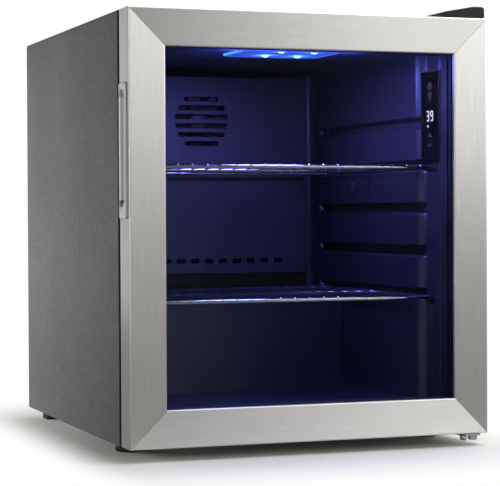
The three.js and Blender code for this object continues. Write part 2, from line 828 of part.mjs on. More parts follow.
// The region of the ring that belongs to each side, between its two mitres.
function mitreRegions() {
  const reach = 10;
  const inset = 60;
  const slit = (gap / 2) * Math.SQRT2;
  const middle = (doorTop + doorBottom) / 2;
  const upright = [
    [-half - reach, doorBottom - reach + slit],
    [-half + inset, doorBottom + inset + slit],
    [-half + inset, doorTop - inset - slit],
    [-half - reach, doorTop + reach - slit],
  ];
  const level = [
    [-half - reach + slit, doorBottom - reach],
    [half + reach - slit, doorBottom - reach],
    [half - inset - slit, doorBottom + inset],
    [-half + inset + slit, doorBottom + inset],
  ];
  return {
    left: upright,
    right: upright.map(([u, v]) => [-u, v]).reverse(),
    bottom: level,
    top: level.map(([u, v]) => [u, 2 * middle - v]).reverse(),
  };
}
const ring = railRing();
for (const [side, region] of Object.entries(mitreRegions())) {
  const wedge = prism(region, "y", doorFront - 2, doorBack + 2);
  const rail = geometryOf(solid(ring).intersect(solid(wedge)));
  place(door, `door_rail_${side}`, rail, stainless);
}

// Plastic frame behind the rails, rebated for the glass and bored for the bushes.
const paneThickness = 3.2;
const paneSpace = 8;
const outerPane = doorFront + lipDepth + gap;
const spacerFront = outerPane + paneThickness + gap;
const innerPane = spacerFront + paneSpace + gap;
const unitBack = innerPane + paneThickness;
const unitEdge = 11; // glass hidden behind the rails
const bushRadius = 6;
function doorFrame() {
  const side = half - railSheet - gap;
  const low = doorBottom + railSheet + gap;
  const high = doorTop - railSheet - gap;
  const block = box([-side, doorFront + railSheet + gap, low], [side, doorBack - gap, high]);
  const window = box([-glassHalf, doorFront, glassBottom], [glassHalf, doorBack + 1, glassTop]);
  const edge = unitEdge + gap;
  const rebate = box(
    [-glassHalf - edge, doorFront, glassBottom - edge],
    [glassHalf + edge, unitBack + gap, glassTop + edge],
  );
  const bores = [doorBottom, doorTop - bushDepth - 4].flatMap((z) => [
    post(hinge.x, hinge.y, bushRadius + gap, z, z + bushDepth + 4),
    post(spareHole.x, spareHole.y, plugShank + gap, z, z + bushDepth + 4),
  ]);
  return cut(block, window, rebate, troughBody(plateSheet + gap), screwBore(1.6), ...bores);
}
place(door, "door_frame", doorFrame(), blackPlastic);

const paneLow = [-glassHalf - unitEdge, glassBottom - unitEdge];
const paneHigh = [glassHalf + unitEdge, glassTop + unitEdge];
function pane(front) {
  return box([paneLow[0], front, paneLow[1]], [paneHigh[0], front + paneThickness, paneHigh[1]]);
}
place(door, "glass_outer", pane(outerPane), clearGlass);
place(door, "glass_inner", pane(innerPane), clearGlass);
const spacerHole = box([-glassHalf, doorFront, glassBottom], [glassHalf, doorBack, glassTop]);
const spacerBlock = box(
  [paneLow[0], spacerFront, paneLow[1]],
  [paneHigh[0], innerPane - gap, paneHigh[1]],
);
place(door, "glass_spacer", cut(spacerBlock, spacerHole), blackPlastic);

// Magnetic gasket: a soft bellows between a foot on the door and a strip that grips the flange.
function doorGasket() {
  const outline = (outset) => [
    [-roomHalf - outset, doorBottom + 25 - outset],
    [roomHalf + outset, doorTop - 25 + outset],
  ];
  const ringOf = (inner, outer, from, to) => {
    const [low, high] = outline(outer);
    const [holeLow, holeHigh] = outline(inner);
    return cut(
      box([low[0], from, low[1]], [high[0], to, high[1]]),
      box([holeLow[0], from - 1, holeLow[1]], [holeHigh[0], to + 1, holeHigh[1]]),
    );
  };
  const foot = ringOf(10.5, 22, doorBack, doorBack + 2.2);
  const bellows = ringOf(12.5, 20.5, doorBack + 1, cabinetFront - 2);
  const strip = ringOf(10.5, 22.5, cabinetFront - 3, cabinetFront - gap);
  return join(foot, bellows, strip);
}
place(door, "door_gasket", doorGasket(), rubber);

// Blind bushes that the hinge pins turn in.
const pinPlay = 0.2;
const bore = pinRadius + pinPlay;
const bush = [
  [0, bushDepth],
  [bore, bushDepth],
  [bore, 0],
  [bushRadius, 0],
  [bushRadius, bushDepth + 3],
  [0, bushDepth + 3],
];
place(door, "bottom_bush", turned(bush, 0, 0), blackPlastic).position.set(hinge.x, hinge.y, doorBottom + 0.2);
const topBush = place(door, "top_bush", turned(bush, 0, 0), blackPlastic);
topBush.rotation.x = Math.PI;
topBush.position.set(hinge.x, hinge.y, doorTop - 0.2);

// Plugs in the spare hinge holes.
const plug = [[0, -8], [plugShank, -8], [plugShank, gap], [5.5, gap], [5.5, 1.2], [4.6, 1.8], [0, 1.8]];
const topPlug = place(door, "top_plug", turned(plug, 0, 0, 16), blackPlastic);
topPlug.position.set(spareHole.x, spareHole.y, doorTop);
const bottomPlug = place(door, "bottom_plug", turned(plug, 0, 0, 16), blackPlastic);
bottomPlug.rotation.x = Math.PI;
bottomPlug.position.set(spareHole.x, spareHole.y, doorBottom);

export default fridge;
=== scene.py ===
import bmesh
import bpy
import numpy as np
from mathutils import Matrix, Vector


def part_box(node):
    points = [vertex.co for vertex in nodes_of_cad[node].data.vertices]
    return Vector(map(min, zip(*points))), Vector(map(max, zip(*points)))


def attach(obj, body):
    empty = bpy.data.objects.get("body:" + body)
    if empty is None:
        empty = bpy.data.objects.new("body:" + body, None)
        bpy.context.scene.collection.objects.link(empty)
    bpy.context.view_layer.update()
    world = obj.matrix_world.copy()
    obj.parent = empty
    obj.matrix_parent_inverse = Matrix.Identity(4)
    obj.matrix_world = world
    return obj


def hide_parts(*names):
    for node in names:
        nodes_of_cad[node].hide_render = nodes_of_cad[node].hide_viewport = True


# Compact glass-door drinks fridge, finished round its CAD frame. Metres, +Z up, door towards -Y.
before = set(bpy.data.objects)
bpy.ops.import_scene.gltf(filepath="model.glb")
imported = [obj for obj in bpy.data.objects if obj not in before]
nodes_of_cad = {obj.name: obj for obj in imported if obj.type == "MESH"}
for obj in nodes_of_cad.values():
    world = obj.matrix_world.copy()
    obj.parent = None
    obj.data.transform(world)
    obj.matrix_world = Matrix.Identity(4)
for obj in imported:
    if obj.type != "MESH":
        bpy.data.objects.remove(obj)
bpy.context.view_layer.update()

# ---- camera -------------------------------------------------------------------------------
# A long lens at the height of the door's middle, out to the left of the fridge and turned
# a little to the right, so that the left side is seen at a slant.
camera_place = (-0.7637, -2.159, 0.2745)
lens_length = 130.03
yaw, pitch, roll = -0.3447, -0.01606, -0.004669
forward = np.array([-np.sin(yaw) * np.cos(pitch), np.cos(yaw) * np.cos(pitch), np.sin(pitch)])
level_right = np.array([np.cos(yaw), np.sin(yaw), 0.0])
level_up = np.cross(level_right, forward)
right = level_right * np.cos(roll) + level_up * np.sin(roll)
up = level_up * np.cos(roll) - level_right * np.sin(roll)
camera_data = bpy.data.cameras.new("camera")
camera_data.lens = lens_length
camera_data.sensor_width = 36
camera_data.clip_start = 0.1
camera = bpy.data.objects.new("camera", camera_data)
turn = Matrix(np.array([right, up, -forward]).T.tolist()).to_4x4()
camera.matrix_world = Matrix.Translation(camera_place) @ turn
bpy.context.scene.collection.objects.link(camera)
bpy.context.scene.camera = camera

# ---- cabinet sheet ------------------------------------------------------------------------
# One steel sheet folded over both sides and the roof, its front edges turned in to a flange.
# It is faced with a dark grey film that has an upright, finely mottled grain.
shell_low, shell_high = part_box("outer_shell")
half = shell_high.x
cabinet_front, cabinet_back = shell_low.y, shell_high.y
base, roof = shell_low.z, shell_high.z
shell_sheet = 0.0008
flange_width = 0.029
merge_distance = 2e-6


def shade(red, green, blue):
    """A screen colour, 0 to 255, as the linear light that a shader wants."""
    value = np.array([red, green, blue]) / 255
    linear = np.where(value < 0.04045, value / 12.92, ((value + 0.055) / 1.055) ** 2.4)
    return (*linear.tolist(), 1.0)


def grid_faces(rows, columns, close_columns=False):
    """Each cell of a grid of points as four corner numbers; the last column may join the first."""
    i, j = np.meshgrid(np.arange(rows - 1), np.arange(columns - (not close_columns)), indexing="ij")
    over = (j + 1) % columns
    corners = [i * columns + j, i * columns + over, (i + 1) * columns + over, (i + 1) * columns + j]
    return np.stack(corners, -1).reshape(-1, 4).tolist()


def add_piece(name, parts, material, body, stands_for=(), sheet=0.0, sharp=32.0, facing=None):
    """Joins (points, faces) parts into one object that rides on a body. Doubles are merged, and
    faces turned outwards: by the closed form, or for an open sheet away from its middle or to the
    side it is facing, before the sheet gets its thickness on the other side."""
    build = bmesh.new()
    for points, faces in parts:
        part = bpy.data.meshes.new("part")
        part.from_pydata(np.asarray(points, float).reshape(-1, 3).tolist(), [], faces)
        build.from_mesh(part)
        bpy.data.meshes.remove(part)
    bmesh.ops.remove_doubles(build, verts=build.verts, dist=merge_distance)
    bmesh.ops.recalc_face_normals(build, faces=build.faces)
    if sheet:
        area = sum(f.calc_area() for f in build.faces)
        middle = sum((f.calc_center_median() * f.calc_area() for f in build.faces), Vector()) / area
        ways = [facing or f.calc_center_median() - middle for f in build.faces]
        outward = sum(f.normal.dot(way) * f.calc_area() for f, way in zip(build.faces, ways))
        if outward < 0:
            bmesh.ops.reverse_faces(build, faces=build.faces)
    for face in build.faces:
        face.smooth = True
    for edge in build.edges:
        edge.smooth = bool(edge.is_manifold and edge.calc_face_angle(0) < np.radians(sharp))
    mesh = bpy.data.meshes.new(name)
    build.to_mesh(mesh)
    build.free()
    mesh.materials.append(material)
    piece = bpy.data.objects.new(name, mesh)
    bpy.context.scene.collection.objects.link(piece)
    if sheet:
        wall = piece.modifiers.new("sheet", "SOLIDIFY")
        wall.thickness = sheet
        wall.offset = -1
    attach(piece, body)
    if stands_for:
        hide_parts(*stands_for)
    return piece


def quarter(steps=6):
    """The angles of a quarter turn, with both ends."""
    return np.linspace(0, np.pi / 2, steps + 1)


def surface_group():
    """Node group: a fine noise over a stretched position gives Grain, a broad one over the plain
    position gives Marks, and Tone is Grain with Marks mixed in."""
    group = bpy.data.node_groups.new("grain_and_marks", "ShaderNodeTree")
    new_socket = group.interface.new_socket
    for label, kind in [("Position", "Vector"), ("Stretch", "Vector"), ("Grain Size", "Float"),
                        ("Mark Size", "Float"), ("Mark Share", "Float")]:
        new_socket(label, in_out="INPUT", socket_type=f"NodeSocket{kind}")
    for label in ("Tone", "Grain", "Marks"):
        new_socket(label, in_out="OUTPUT", socket_type="NodeSocketFloat")
    nodes, link = group.nodes, group.links.new
    given, made = nodes.new("NodeGroupInput"), nodes.new("NodeGroupOutput")
    stretched = nodes.new("ShaderNodeVectorMath")
    stretched.operation = "MULTIPLY"
    link(given.outputs["Position"], stretched.inputs[0])
    link(given.outputs["Stretch"], stretched.inputs[1])
    grain, marks = nodes.new("ShaderNodeTexNoise"), nodes.new("ShaderNodeTexNoise")
    grain.inputs["Detail"].default_value = 4
    grain.inputs["Roughness"].default_value = 0.6
    marks.inputs["Detail"].default_value = 3
    link(stretched.outputs[0], grain.inputs["Vector"])
    link(given.outputs["Grain Size"], grain.inputs["Scale"])
    link(given.outputs["Position"], marks.inputs["Vector"])
    link(given.outputs["Mark Size"], marks.inputs["Scale"])
    blend = nodes.new("ShaderNodeMix")
    link(given.outputs["Mark Share"], blend.inputs[0])
    link(grain.outputs["Fac"], blend.inputs[2])
    link(marks.outputs["Fac"], blend.inputs[3])
    link(blend.outputs[0], made.inputs["Tone"])
    link(grain.outputs["Fac"], made.inputs["Grain"])
    link(marks.outputs["Fac"], made.inputs["Marks"])
    return group


grain_and_marks = surface_group()


def finish(name, dark, light, rough, grain, stretch=(1, 1, 1), marks=14.0, share=0.3, bump=0.0, **constants):
    """A material whose colour runs from dark to light by tone and whose roughness runs over the
    two values of rough by marks; bump is the height of its grain, and constants are sockets. Both
    runs go over the stretch in which nearly all of a noise's values lie."""
    noise_low, noise_high = 0.3, 0.7
    material = bpy.data.materials.new(name)
    material.use_nodes = True
    nodes, link = material.node_tree.nodes, material.node_tree.links.new
    shader = nodes["Principled BSDF"]
    for socket, value in constants.items():
        shader.inputs[socket.replace("_", " ")].default_value = value
    place, pattern = nodes.new("ShaderNodeTexCoord"), nodes.new("ShaderNodeGroup")
    pattern.node_tree = grain_and_marks
    link(place.outputs["Object"], pattern.inputs["Position"])
    pattern.inputs["Stretch"].default_value = stretch
    pattern.inputs["Grain Size"].default_value = grain
    pattern.inputs["Mark Size"].default_value = marks
    pattern.inputs["Mark Share"].default_value = share
    ramp = nodes.new("ShaderNodeValToRGB")
    first, last = ramp.color_ramp.elements
    first.position, first.color = noise_low, dark
    last.position, last.color = noise_high, light
    link(pattern.outputs["Tone"], ramp.inputs["Fac"])
    link(ramp.outputs["Color"], shader.inputs["Base Color"])
    spread = nodes.new("ShaderNodeMapRange")
    ends = ("From Min", "From Max", "To Min", "To Max")
    for end, value in zip(ends, (noise_low, noise_high, *rough)):
        spread.inputs[end].default_value = value
    link(pattern.outputs["Marks"], spread.inputs["Value"])
    link(spread.outputs["Result"], shader.inputs["Roughness"])
    if bump:
        relief = nodes.new("ShaderNodeBump")
        relief.inputs["Strength"].default_value = 0.6
        relief.inputs["Distance"].default_value = bump
        link(pattern.outputs["Grain"], relief.inputs["Height"])
        link(relief.outputs["Normal"], shader.inputs["Normal"])
    return material


def cabinet_surface():
    """The fold's profile of (inset, y) carried round an upside-down U: at each inset the U is drawn
    in by that much, and its corner arcs shrink until they close to a point."""
    corner, fold, ease = 0.003, 0.0016, 0.0006
    bend = quarter()
    inset = np.concatenate([[0, 0], fold - fold * np.cos(bend), [fold + ease, flange_width]])
    y = np.concatenate([
        [cabinet_back, cabinet_front + fold + ease], cabinet_front + fold - fold * np.sin(bend),
        [cabinet_front, cabinet_front],
    ])
    inset, y = inset[:, None], y[:, None]
    reach = np.maximum(corner, inset)
    radius = np.maximum(corner - inset, 0)
    x = np.hstack([
        half - inset,
        half - inset,
        half - reach + radius * np.cos(bend),
        half - reach - ease,
    ])
    z = np.hstack([
        base + 0 * inset,
        roof - reach - ease,
        roof - reach + radius * np.sin(bend),
        roof - inset,
    ])
    x, z = np.hstack([x, -x[:, ::-1]]), np.hstack([z, z[:, ::-1]])
    points = np.stack([x, y + 0 * x, z], -1)
    return points, grid_faces(*x.shape)


cabinet_film = finish(
    "cabinet_film", shade(56, 56, 58), shade(94, 94, 95), (0.42, 0.5), 700, (1, 1, 0.35),
    marks=9, share=0.06, bump=0.00022, IOR=1.12,
)
add_piece("cabinet_sheet", [cabinet_surface()], cabinet_film, "cabinet", ["outer_shell"],
          sheet=shell_sheet)


# ---- hidden cabinet steel: front rail, base pan, machine bay cover, rear panel ---------------
# Pressed steel pieces under and behind the cabinet: a folded rail across the bottom, a zinc-plated
# pan and bay cover, and a black sheet that closes the foam at the back.
def eased_copy(name, node, width, material, body="cabinet"):
    """A merged copy of a CAD node, its flat faces made whole and its edges eased by a bevel."""
    mesh = nodes_of_cad[node].data.copy()
    mesh.name = name
    build = bmesh.new()
    build.from_mesh(mesh)
    bmesh.ops.remove_doubles(build, verts=build.verts, dist=merge_distance)
    bmesh.ops.dissolve_limit(build, angle_limit=np.radians(1), verts=build.verts, edges=build.edges)
    build.to_mesh(mesh)
    build.free()
    mesh.polygons.foreach_set("use_smooth", np.ones(len(mesh.polygons), bool))
    mesh.set_sharp_from_angle(angle=np.radians(35))
    mesh.materials.clear()
    mesh.materials.append(material)
    piece = bpy.data.objects.new(name, mesh)
    bpy.context.scene.collection.objects.link(piece)
    ease = piece.modifiers.new("eased_edges", "BEVEL")
    ease.width = width
    ease.segments = 2
    ease.limit_method = "ANGLE"
    ease.angle_limit = np.radians(35)
    level = piece.modifiers.new("level_normals", "WEIGHTED_NORMAL")
    level.keep_sharp = True
    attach(piece, body)
    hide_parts(node)
    return piece


def dress(node, material):
    """Gives a CAD node that stays as it is its finished material."""
    nodes_of_cad[node].material_slots[0].material = material


zinc = finish("zinc_plate", shade(128, 130, 134), shade(176, 178, 180), (0.3, 0.48), 55, marks=40, share=0.5,
              bump=0.00003, Metallic=1.0)
black_paint = finish("black_paint", shade(20, 20, 22), shade(34, 34, 36), (0.42, 0.6), 700, marks=20,
                     bump=0.00005, Metallic=0.2)
eased_copy("bottom_cross_rail", "front_rail", 0.0003, cabinet_film)
eased_copy("bay_cover_sheet", "machine_bay_cover", 0.0003, zinc)
dress("base_pan", zinc)
dress("rear_panel", black_paint)

# ---- foam ---------------------------------------------------------------------------------
# Rigid polyurethane foam, poured between the steel and the liner, where it sets pale yellow.
foam_skin = finish("foam_skin", shade(206, 188, 132), shade(232, 218, 170), (0.8, 0.95), 260, marks=30,
                   bump=0.0004)
dress("insulation_foam", foam_skin)

# ---- inner liner --------------------------------------------------------------------------
# One plastic sheet drawn by vacuum into the cabinet: a bay behind the door, racks with grooves for
# the shelves, a step over the machine bay, and a lip that is held behind the steel flange.
liner_low, liner_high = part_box("inner_liner")
liner_sheet = 0.002
wall_depth, rack_depth = 0.036, 0.0095
room_half = half - wall_depth
rack_half = room_half - rack_depth
room_floor, room_ceiling = base + 0.026, roof - 0.032
room_back = liner_high.y - liner_sheet
lip_front = liner_low.y
step_front, step_top, step_soft = 0.085, 0.164, 0.002
shelf_levels = np.array([0.173, 0.225, 0.277, 0.329, 0.381])
groove_low, groove_high, groove_soft = -0.004, 0.011, 0.001
flare_depth, flare_start, lip_flare = 0.004, 0.195, 0.0036


def ramp_up(value, start, stop):
    """0 before start and 1 after stop, with an S-shaped rise between."""
    t = np.clip((value - start) / (stop - start), 0, 1)
    return t * t * (3 - 2 * t)


def liner_surface():
    """A round-cornered section carried from the door to the back wall. Its half width is the bay's,
    less the rack's depth behind the slope and outside the grooves; its floor climbs at the step;
    and its last rows draw in along a quarter circle to the back wall."""
    corner, back_corner = 0.009, 0.012
    slope_start, slope_stop, groove_stop = cabinet_front + 0.038, cabinet_front + 0.055, room_back - 0.03
    edge = np.array([-0.0012, -0.0004, 0.0004, 0.0012])
    draw = quarter(6)
    y = np.concatenate([
        np.linspace(lip_front, cabinet_front + 0.011, 5),
        np.linspace(slope_start - 0.004, slope_stop + 0.004, 14),
        np.linspace(-0.14, step_front - 0.004, 12),
        np.linspace(step_front - 0.003, step_front + 0.003, 7),
        np.linspace(step_front + 0.01, groove_stop - 0.003, 6),
        np.linspace(groove_stop - 0.002, groove_stop + 0.002, 5),
        room_back - back_corner + back_corner * np.sin(draw),
    ])[:, None]
    drawn_in = np.zeros_like(y)
    drawn_in[-len(draw):, 0] = back_corner - back_corner * np.cos(draw)
    floor = room_floor + (step_top - room_floor) * ramp_up(y, step_front - step_soft, step_front + step_soft)
    edges = np.concatenate([shelf_levels + groove_low, shelf_levels + groove_high])
    grooves = (edges[:, None] + edge).ravel()
    z_lines = np.sort(np.concatenate([
        [room_floor + corner, room_ceiling - corner], grooves,
        np.linspace(0.06, 0.16, 6), np.linspace(0.40, 0.455, 4),
    ]))

    def half_width(height):
        """The wall's distance from the middle plane at a height."""
        rack = ramp_up(y, slope_start, slope_stop)
        groove = 0
        for level in shelf_levels:
            bottom, top = level + groove_low, level + groove_high
            groove = groove + ramp_up(height, bottom - groove_soft, bottom + groove_soft)
            groove = groove - ramp_up(height, top - groove_soft, top + groove_soft)
        groove = groove * (1 - ramp_up(y, groove_stop - 0.002, groove_stop + 0.002))
        flare = flare_depth * ramp_up(-y, flare_start, -cabinet_front)
        return room_half + flare - (room_half - rack_half) * rack * (1 - groove) - drawn_in

    floor_z, ceiling_z = floor + drawn_in, room_ceiling - drawn_in
    wall_z = np.clip(z_lines[None, :], floor_z + corner, ceiling_z - corner)
    wall_x = half_width(wall_z)
    arc = quarter()
    low_x = wall_x[:, :1] - corner + corner * np.sin(arc)
    low_z = floor_z + corner - corner * np.cos(arc)
    high_x = wall_x[:, -1:] - corner + corner * np.cos(arc)
    high_z = ceiling_z - corner + corner * np.sin(arc)
    x = np.hstack([0 * y, low_x, wall_x, high_x, 0 * y])
    z = np.hstack([floor_z, low_z, wall_z, high_z, ceiling_z])
    x, z = np.hstack([x, -x[:, ::-1][:, 1:-1]]), np.hstack([z, z[:, ::-1][:, 1:-1]])
    inner = np.stack([x, y + 0 * x, z], -1)
    lip = inner[:1].copy()
    lip_low, lip_high = liner_low.z, liner_high.z
    lip[..., 0] *= liner_high.x / (room_half + lip_flare)
    lip[..., 2] = lip_low + (lip[..., 2] - room_floor) * (lip_high - lip_low) / (room_ceiling - room_floor)
    inner = np.concatenate([lip, inner])
    rows, columns = inner.shape[:2]
    faces = grid_faces(rows, columns, close_columns=True)
    faces.append(list(range((rows - 1) * columns, rows * columns)))
    return inner, faces


liner_plastic = finish("liner_plastic", shade(30, 30, 36), shade(41, 41, 49), (0.34, 0.46), 1500, marks=8,
                       share=0.4, bump=0.00004)
add_piece("liner_skin", [liner_surface()], liner_plastic, "cabinet", ["inner_liner"],
          sheet=liner_sheet)

# ---- shelves ------------------------------------------------------------------------------
# Chromed steel wire: a thick rod all round and one across, and thin wires welded on top of them,
# each with its front end turned down over the front rod. The shelves slide in the liner's grooves.
def rods(paths, radius, sides=10):
    """Round bars along many paths at once, as an array of (bars, points, 3): each point carries a
    circle square to the path there, and a point on the path closes each end."""
    paths = np.asarray(paths, float)
    along = np.gradient(paths, axis=1)
    along /= np.linalg.norm(along, axis=2, keepdims=True)
    extent = paths.max(1) - paths.min(1)
    flat_axis = np.eye(3)[np.argmin(extent, axis=1)][:, None, :]
    side = np.cross(along, flat_axis)
    side /= np.linalg.norm(side, axis=2, keepdims=True)
    rise = np.cross(side, along)
    angle = np.linspace(0, 2 * np.pi, sides, endpoint=False)[:, None]
    circle = np.cos(angle) * side[:, :, None] + np.sin(angle) * rise[:, :, None]
    skin = paths[:, :, None] + radius * circle
    first = np.repeat(paths[:, :1, None], sides, axis=2)
    last = np.repeat(paths[:, -1:, None], sides, axis=2)
    skin = np.concatenate([first, skin, last], axis=1)
    bars, rows = skin.shape[:2]
    one = np.array(grid_faces(rows, sides, close_columns=True))
    faces = (one[None] + (np.arange(bars) * rows * sides)[:, None, None]).reshape(-1, 4)
    return skin.reshape(-1, 3), faces.tolist()


def bent(corners, bend, steps=5):
    """A path through corner points, each corner replaced by a parabola that begins and ends at a
    distance of bend from it."""
    corners = np.asarray(corners, float)
    before = corners[:-2] - corners[1:-1]
    after = corners[2:] - corners[1:-1]
    enter = corners[1:-1] + bend * before / np.linalg.norm(before, axis=1, keepdims=True)
    leave = corners[1:-1] + bend * after / np.linalg.norm(after, axis=1, keepdims=True)
    t = np.linspace(0, 1, steps)[:, None]
    arcs = (1 - t) ** 2 * enter[:, None] + 2 * t * (1 - t) * corners[1:-1, None] + t**2 * leave[:, None]
    return np.vstack([corners[:1], arcs.reshape(-1, 3), corners[-1:]])


chrome = finish("chrome_plate", shade(150, 152, 157), shade(184, 187, 192), (0.08, 0.2), 300, marks=60,
                share=0.6, Metallic=1.0)
for shelf in ("lower_shelf", "upper_shelf"):
    low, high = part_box(shelf)
    rod, wire = 0.0025, 0.0015
    wire_places = np.linspace(-0.162, 0.162, 19)
    level = low.z + rod
    reach, near, far = high.x - rod, low.y + rod, high.y - rod
    ring = bent([[0, near, level], [reach, near, level], [reach, far, level], [-reach, far, level],
                 [-reach, near, level], [0, near, level]], 0.008)
    cross = [[-reach, (near + far) / 2, level], [reach, (near + far) / 2, level]]
    wire_z = high.z - wire
    tip_y, tip_z, fold_y = near - rod * 0.2, level - rod * 0.4, near - rod * 0.6
    wires = [bent([[x, tip_y, tip_z], [x, fold_y, wire_z], [x, far, wire_z]], 0.0022) for x in wire_places]
    parts = [rods([ring], rod, 12), rods([cross], rod, 12), rods(wires, wire, 10)]
    add_piece(f"{shelf}_wires", parts, chrome, shelf, [shelf])

# ---- air duct, fan and evaporator -----------------------------------------------------------
# A moulded cover hides the evaporator plate at the back of the room. A fan in a square frame
# behind its grille draws air over the plate and blows it round the room.
moulded_black = finish("moulded_black", shade(22, 22, 24), shade(33, 33, 36), (0.42, 0.58), 1100, marks=16,
                       bump=0.00006)
duct_plastic = finish("duct_plastic", shade(28, 28, 34), shade(38, 38, 46), (0.4, 0.52), 1300, marks=12,
                      bump=0.00005)
eased_copy("duct_cover_moulding", "duct_cover", 0.0007, duct_plastic)
eased_copy("fan_frame_moulding", "fan_frame", 0.0005, moulded_black)
eased_copy("sensor_pod", "temperature_sensor", 0.0008, moulded_black)
plate_metal = finish("evaporator_aluminium", shade(168, 171, 174), shade(205, 207, 209), (0.3, 0.45), 90,
                     (1, 1, 0.1), marks=30, bump=0.00008, Metallic=1.0)
dress("evaporator_plate", plate_metal)


def turned(profile, centre, axis=2, sides=32):
    """A surface of revolution: each (radius, height) point goes round the axis through centre."""
    radius, height = np.asarray(profile, float).T[:, :, None]
    angle = np.linspace(0, 2 * np.pi, sides, endpoint=False)
    ring = np.stack([radius * np.cos(angle), radius * np.sin(angle), height + 0 * angle], -1)
    ring = np.roll(ring, (axis + 1) % 3, axis=-1) + np.asarray(centre)
    return ring, grid_faces(len(profile), sides, close_columns=True)


def capped_faces(rows, columns):
    """The faces of a closed tube of points, with one flat face over each of its ends."""
    faces = grid_faces(rows, columns, close_columns=True)
    return faces + [list(range(columns)), list(range((rows - 1) * columns, rows * columns))]


def rotor_parts():
    """A hub with a domed nose, and blades whose chord turns from steep at the root to flat at the
    tip: a blade is a lens-shaped section carried outwards along its radius."""
    low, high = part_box("fan_rotor")
    centre = (low + high) / 2
    tip, hub, blades = (high.x - low.x) / 2, 0.015, 7
    nose = [[0, low.y], [0.009, low.y + 0.0006], [hub - 0.001, low.y + 0.0028], [hub, low.y + 0.005],
            [hub, high.y - 0.0005], [hub - 0.0006, high.y], [0, high.y]]
    parts = [turned(nose, (centre.x, 0, centre.z), axis=1, sides=40)]
    turn = np.linspace(0, 2 * np.pi, 16, endpoint=False)
    span, around = np.meshgrid(np.linspace(0, 1, 9), turn, indexing="ij")
    radius = hub - 0.001 + (tip - hub + 0.0008) * span
    half_chord, half_thickness, arch, root_slant, twist = 0.0088, 0.0007, 0.0012, 0.62, 0.3
    chord = half_chord * np.cos(around)
    camber = half_thickness * np.sin(around) - arch * np.cos(around) ** 2
    slant = root_slant - twist * span
    across = chord * np.cos(slant) - camber * np.sin(slant)
    depth = chord * np.sin(slant) + camber * np.cos(slant)
    for blade in range(blades):
        heading = 2 * np.pi * blade / blades + across / np.maximum(radius, 0.02)
        reach = np.minimum(radius, tip - 0.0002)
        points = np.stack([centre.x + reach * np.cos(heading), centre.y + depth * 0.8,
                           centre.z + reach * np.sin(heading)], -1)
        parts.append((points, capped_faces(*span.shape)))
    return parts


add_piece("fan_blades_and_hub", rotor_parts(), moulded_black, "fan", ["fan_rotor"])

# ---- lamp ---------------------------------------------------------------------------------
# Four diodes on a small board in the ceiling, behind a frosted blue lens with a small dome under
# each diode, so that the diodes stand out as bright points.
def dish(low_corner, high_corner, radius, levels, axis=2, steps=6):
    """A rounded rectangle carried through levels of (inset, height): each level draws the outline
    in by its inset, and flat faces close the first and last. Corners are in the plane's axes."""
    angle = quarter(steps)
    inset, height = np.asarray(levels, float).T[:, :, None]
    bend = np.maximum(radius - inset, 0.0002)
    sweep = np.concatenate([angle, angle + np.pi / 2, angle + np.pi, angle + 1.5 * np.pi])
    is_high_u = np.repeat([True, False, False, True], steps + 1)
    is_high_v = np.repeat([True, True, False, False], steps + 1)
    pull = inset + bend
    u = np.where(is_high_u, high_corner[0] - pull, low_corner[0] + pull) + bend * np.cos(sweep)
    v = np.where(is_high_v, high_corner[1] - pull, low_corner[1] + pull) + bend * np.sin(sweep)
    points = np.roll(np.stack([u, v, height + 0 * u], -1), (axis + 1) % 3, axis=-1)
    return points, capped_faces(*u.shape)


def outside_box(nodes, link, place, centre, half_size, weight=(1, 1, 1)):
    """A socket with a place's distance from a box: the length of max(|place - centre| - half size, 0),
    each of its parts times its weight."""
    for operation, value in (("SUBTRACT", centre), ("ABSOLUTE", (0, 0, 0)), ("SUBTRACT", half_size),
                             ("MAXIMUM", (0, 0, 0)), ("MULTIPLY", weight), ("LENGTH", (0, 0, 0))):
        step = nodes.new("ShaderNodeVectorMath")
        step.operation = operation
        step.inputs[1].default_value = value
        link(place, step.inputs[0])
        place = step.outputs["Value" if operation == "LENGTH" else "Vector"]
    return place


